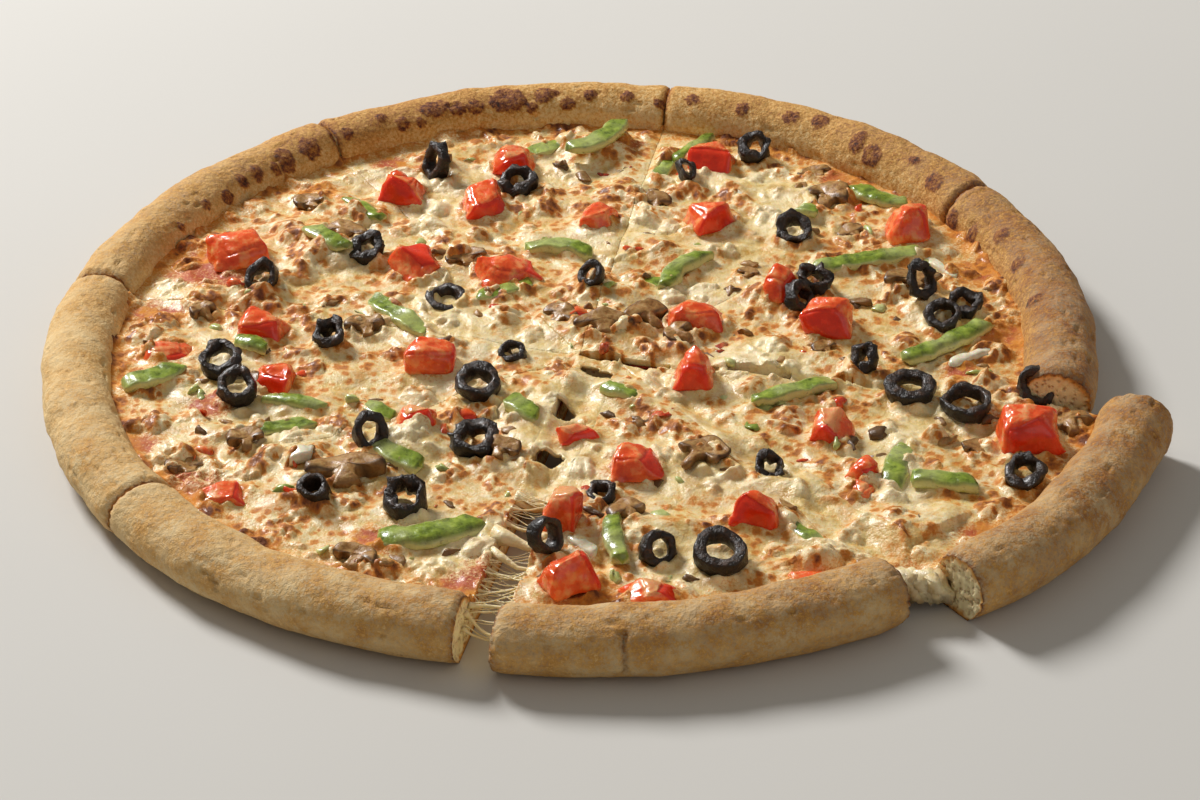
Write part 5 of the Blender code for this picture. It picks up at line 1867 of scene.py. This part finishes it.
class PIZZA_OT_mushrooms(bpy.types.Operator):
    """Lay the slices of mushroom"""

    bl_idname = "pizza.mushrooms"
    bl_label = "Mushrooms"

    def execute(self, context):
        finishes = use_materials("baked button mushroom")
        whole = bmesh.new()
        for index, (x, y, turn, cap, length, height) in enumerate(SMALL_MUSHROOMS, SMALL_SEED):
            bm = mushroom_slice(index, cap, length, height)
            tilt = 24 * hashed(index, 4, 6) - 6
            sink(whole, bm, x, y, turn, tilt, 0.6)
        piece_from(whole, "small_mushrooms", finishes)
        return {"FINISHED"}


class PIZZA_OT_onions(bpy.types.Operator):
    """Lay the strips of onion"""

    bl_idname = "pizza.onions"
    bl_label = "Onions"

    def execute(self, context):
        finishes = use_materials("softened white onion")
        whole = bmesh.new()
        for index, (x, y, turn, length, width, height, bend) in enumerate(SMALL_ONIONS, ONION_SEED):
            bm = strip_bar(index, length, width, height, bend, 0.6, False)
            sink(whole, bm, x, y, turn, 0, 0.5)
        piece_from(whole, "small_onions", finishes)
        return {"FINISHED"}


class PIZZA_OT_bits(bpy.types.Operator):
    """Scatter the scraps of mushroom, tomato and pepper"""

    bl_idname = "pizza.bits"
    bl_label = "Bits"

    def execute(self, context):
        sizes = context.scene.pizza_sizes
        for order, (name, finish, slot, count, values) in enumerate(BITS):
            random = np.random.default_rng(SEED + 40 + order)
            whole = bmesh.new()
            for index, (x, y, height) in enumerate(scattered_spots(order, count, sizes)):
                long = random.uniform(3.0, 9.0)
                wide = long * random.uniform(0.3, 0.6)
                bm = crumb_bit(index + 100 * order, long, wide, random.uniform(2.0, 3.2))
                for value, low, high in values:
                    set_values(bm, value, np.full(len(bm.verts), random.uniform(low, high)))
                turn = random.uniform(0, 180)
                tilt = random.uniform(-15, 15)
                gather(whole, lay(bm, x, y, turn, tilt, height - random.uniform(1.6, 2.8)))
            piece_from(whole, name, use_materials(finish))
        return {"FINISHED"}


class PIZZA_OT_stage(bpy.types.Operator):
    """Set the floor, the lights and the camera"""

    bl_idname = "pizza.stage"
    bl_label = "Stage"

    def execute(self, context):
        scene = context.scene
        bm = bmesh.new()
        bmesh.ops.create_grid(bm, x_segments=1, y_segments=1, size=FLOOR_HALF_WIDTH)
        bmesh.ops.translate(bm, vec=(0, 0, -FLOOR_GAP), verts=bm.verts)
        mesh = bpy.data.meshes.new("floor")
        bm.to_mesh(mesh)
        bm.free()
        floor = bpy.data.objects.new("floor", mesh)
        mesh.materials.append(bpy.data.materials[use_materials("matt painted floor")[0]])
        scene.collection.objects.link(floor)
        world = bpy.data.worlds.new("soft studio")
        world.use_nodes = True
        background = world.node_tree.nodes["Background"]
        background.inputs["Color"].default_value = WORLD_COLOUR
        background.inputs["Strength"].default_value = WORLD_STRENGTH
        scene.world = world
        scene.view_settings.view_transform = "Standard"
        middle = MIDDLE * MM
        for name, place, size, power in LIGHTS:
            lamp = bpy.data.lights.new(name, "AREA")
            lamp.shape = "DISK"
            lamp.size = size
            lamp.energy = power
            holder = bpy.data.objects.new(name, lamp)
            holder.location = middle + Vector(place)
            holder.rotation_euler = (-Vector(place)).to_track_quat("-Z", "Y").to_euler()
            scene.collection.objects.link(holder)
        camera = bpy.data.cameras.new("camera")
        camera.lens = scene.pizza_sizes.lens
        camera.sensor_width = 36.0
        camera.clip_start = 0.01
        eye = Vector(EYE)
        target = Vector(TARGET)
        holder = bpy.data.objects.new("camera", camera)
        holder.location = (eye + MIDDLE) * MM
        look = (target - eye).to_track_quat("-Z", "Y").to_matrix().to_4x4()
        holder.rotation_euler = (look @ Matrix.Rotation(math.radians(CAMERA_ROLL), 4, "Z")).to_euler()
        scene.collection.objects.link(holder)
        scene.camera = holder
        return {"FINISHED"}


class PIZZA_PT_panel(bpy.types.Panel):
    """Sizes, colours and building steps of the pizza."""

    bl_label = "Pan pizza"
    bl_idname = "PIZZA_PT_panel"
    bl_space_type = "VIEW_3D"
    bl_region_type = "UI"
    bl_category = "Pizza"

    def draw(self, context):
        for settings in (context.scene.pizza_sizes, context.scene.pizza_colours):
            for name in settings.__annotations__:
                self.layout.prop(settings, name)
        for operator in OPERATORS:
            self.layout.operator(operator.bl_idname)


OPERATORS = (
    PIZZA_OT_crusts,
    PIZZA_OT_sauce,
    PIZZA_OT_cheese,
    PIZZA_OT_pulled_cheese,
    PIZZA_OT_tomatoes,
    PIZZA_OT_olives,
    PIZZA_OT_peppers,
    PIZZA_OT_mushrooms,
    PIZZA_OT_onions,
    PIZZA_OT_bits,
    PIZZA_OT_stage,
)
CLASSES = (PizzaSizes, PizzaColours, *OPERATORS, PIZZA_PT_panel)


def register():
    """Register the settings, the operators and the panel."""
    for made in CLASSES:
        bpy.utils.register_class(made)
    bpy.types.Scene.pizza_sizes = PointerProperty(type=PizzaSizes)
    bpy.types.Scene.pizza_colours = PointerProperty(type=PizzaColours)


def unregister():
    """Remove what register added."""
    del bpy.types.Scene.pizza_colours
    del bpy.types.Scene.pizza_sizes
    for made in reversed(CLASSES):
        bpy.utils.unregister_class(made)


def main():
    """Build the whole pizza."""
    noise.seed_set(SEED)
    register()
    bpy.ops.pizza.crusts()
    bpy.ops.pizza.sauce()
    bpy.ops.pizza.cheese()
    bpy.ops.pizza.pulled_cheese()
    bpy.ops.pizza.tomatoes()
    bpy.ops.pizza.olives()
    bpy.ops.pizza.peppers()
    bpy.ops.pizza.mushrooms()
    bpy.ops.pizza.onions()
    bpy.ops.pizza.bits()
    bpy.ops.pizza.stage()


if __name__ == "__main__":
    main()
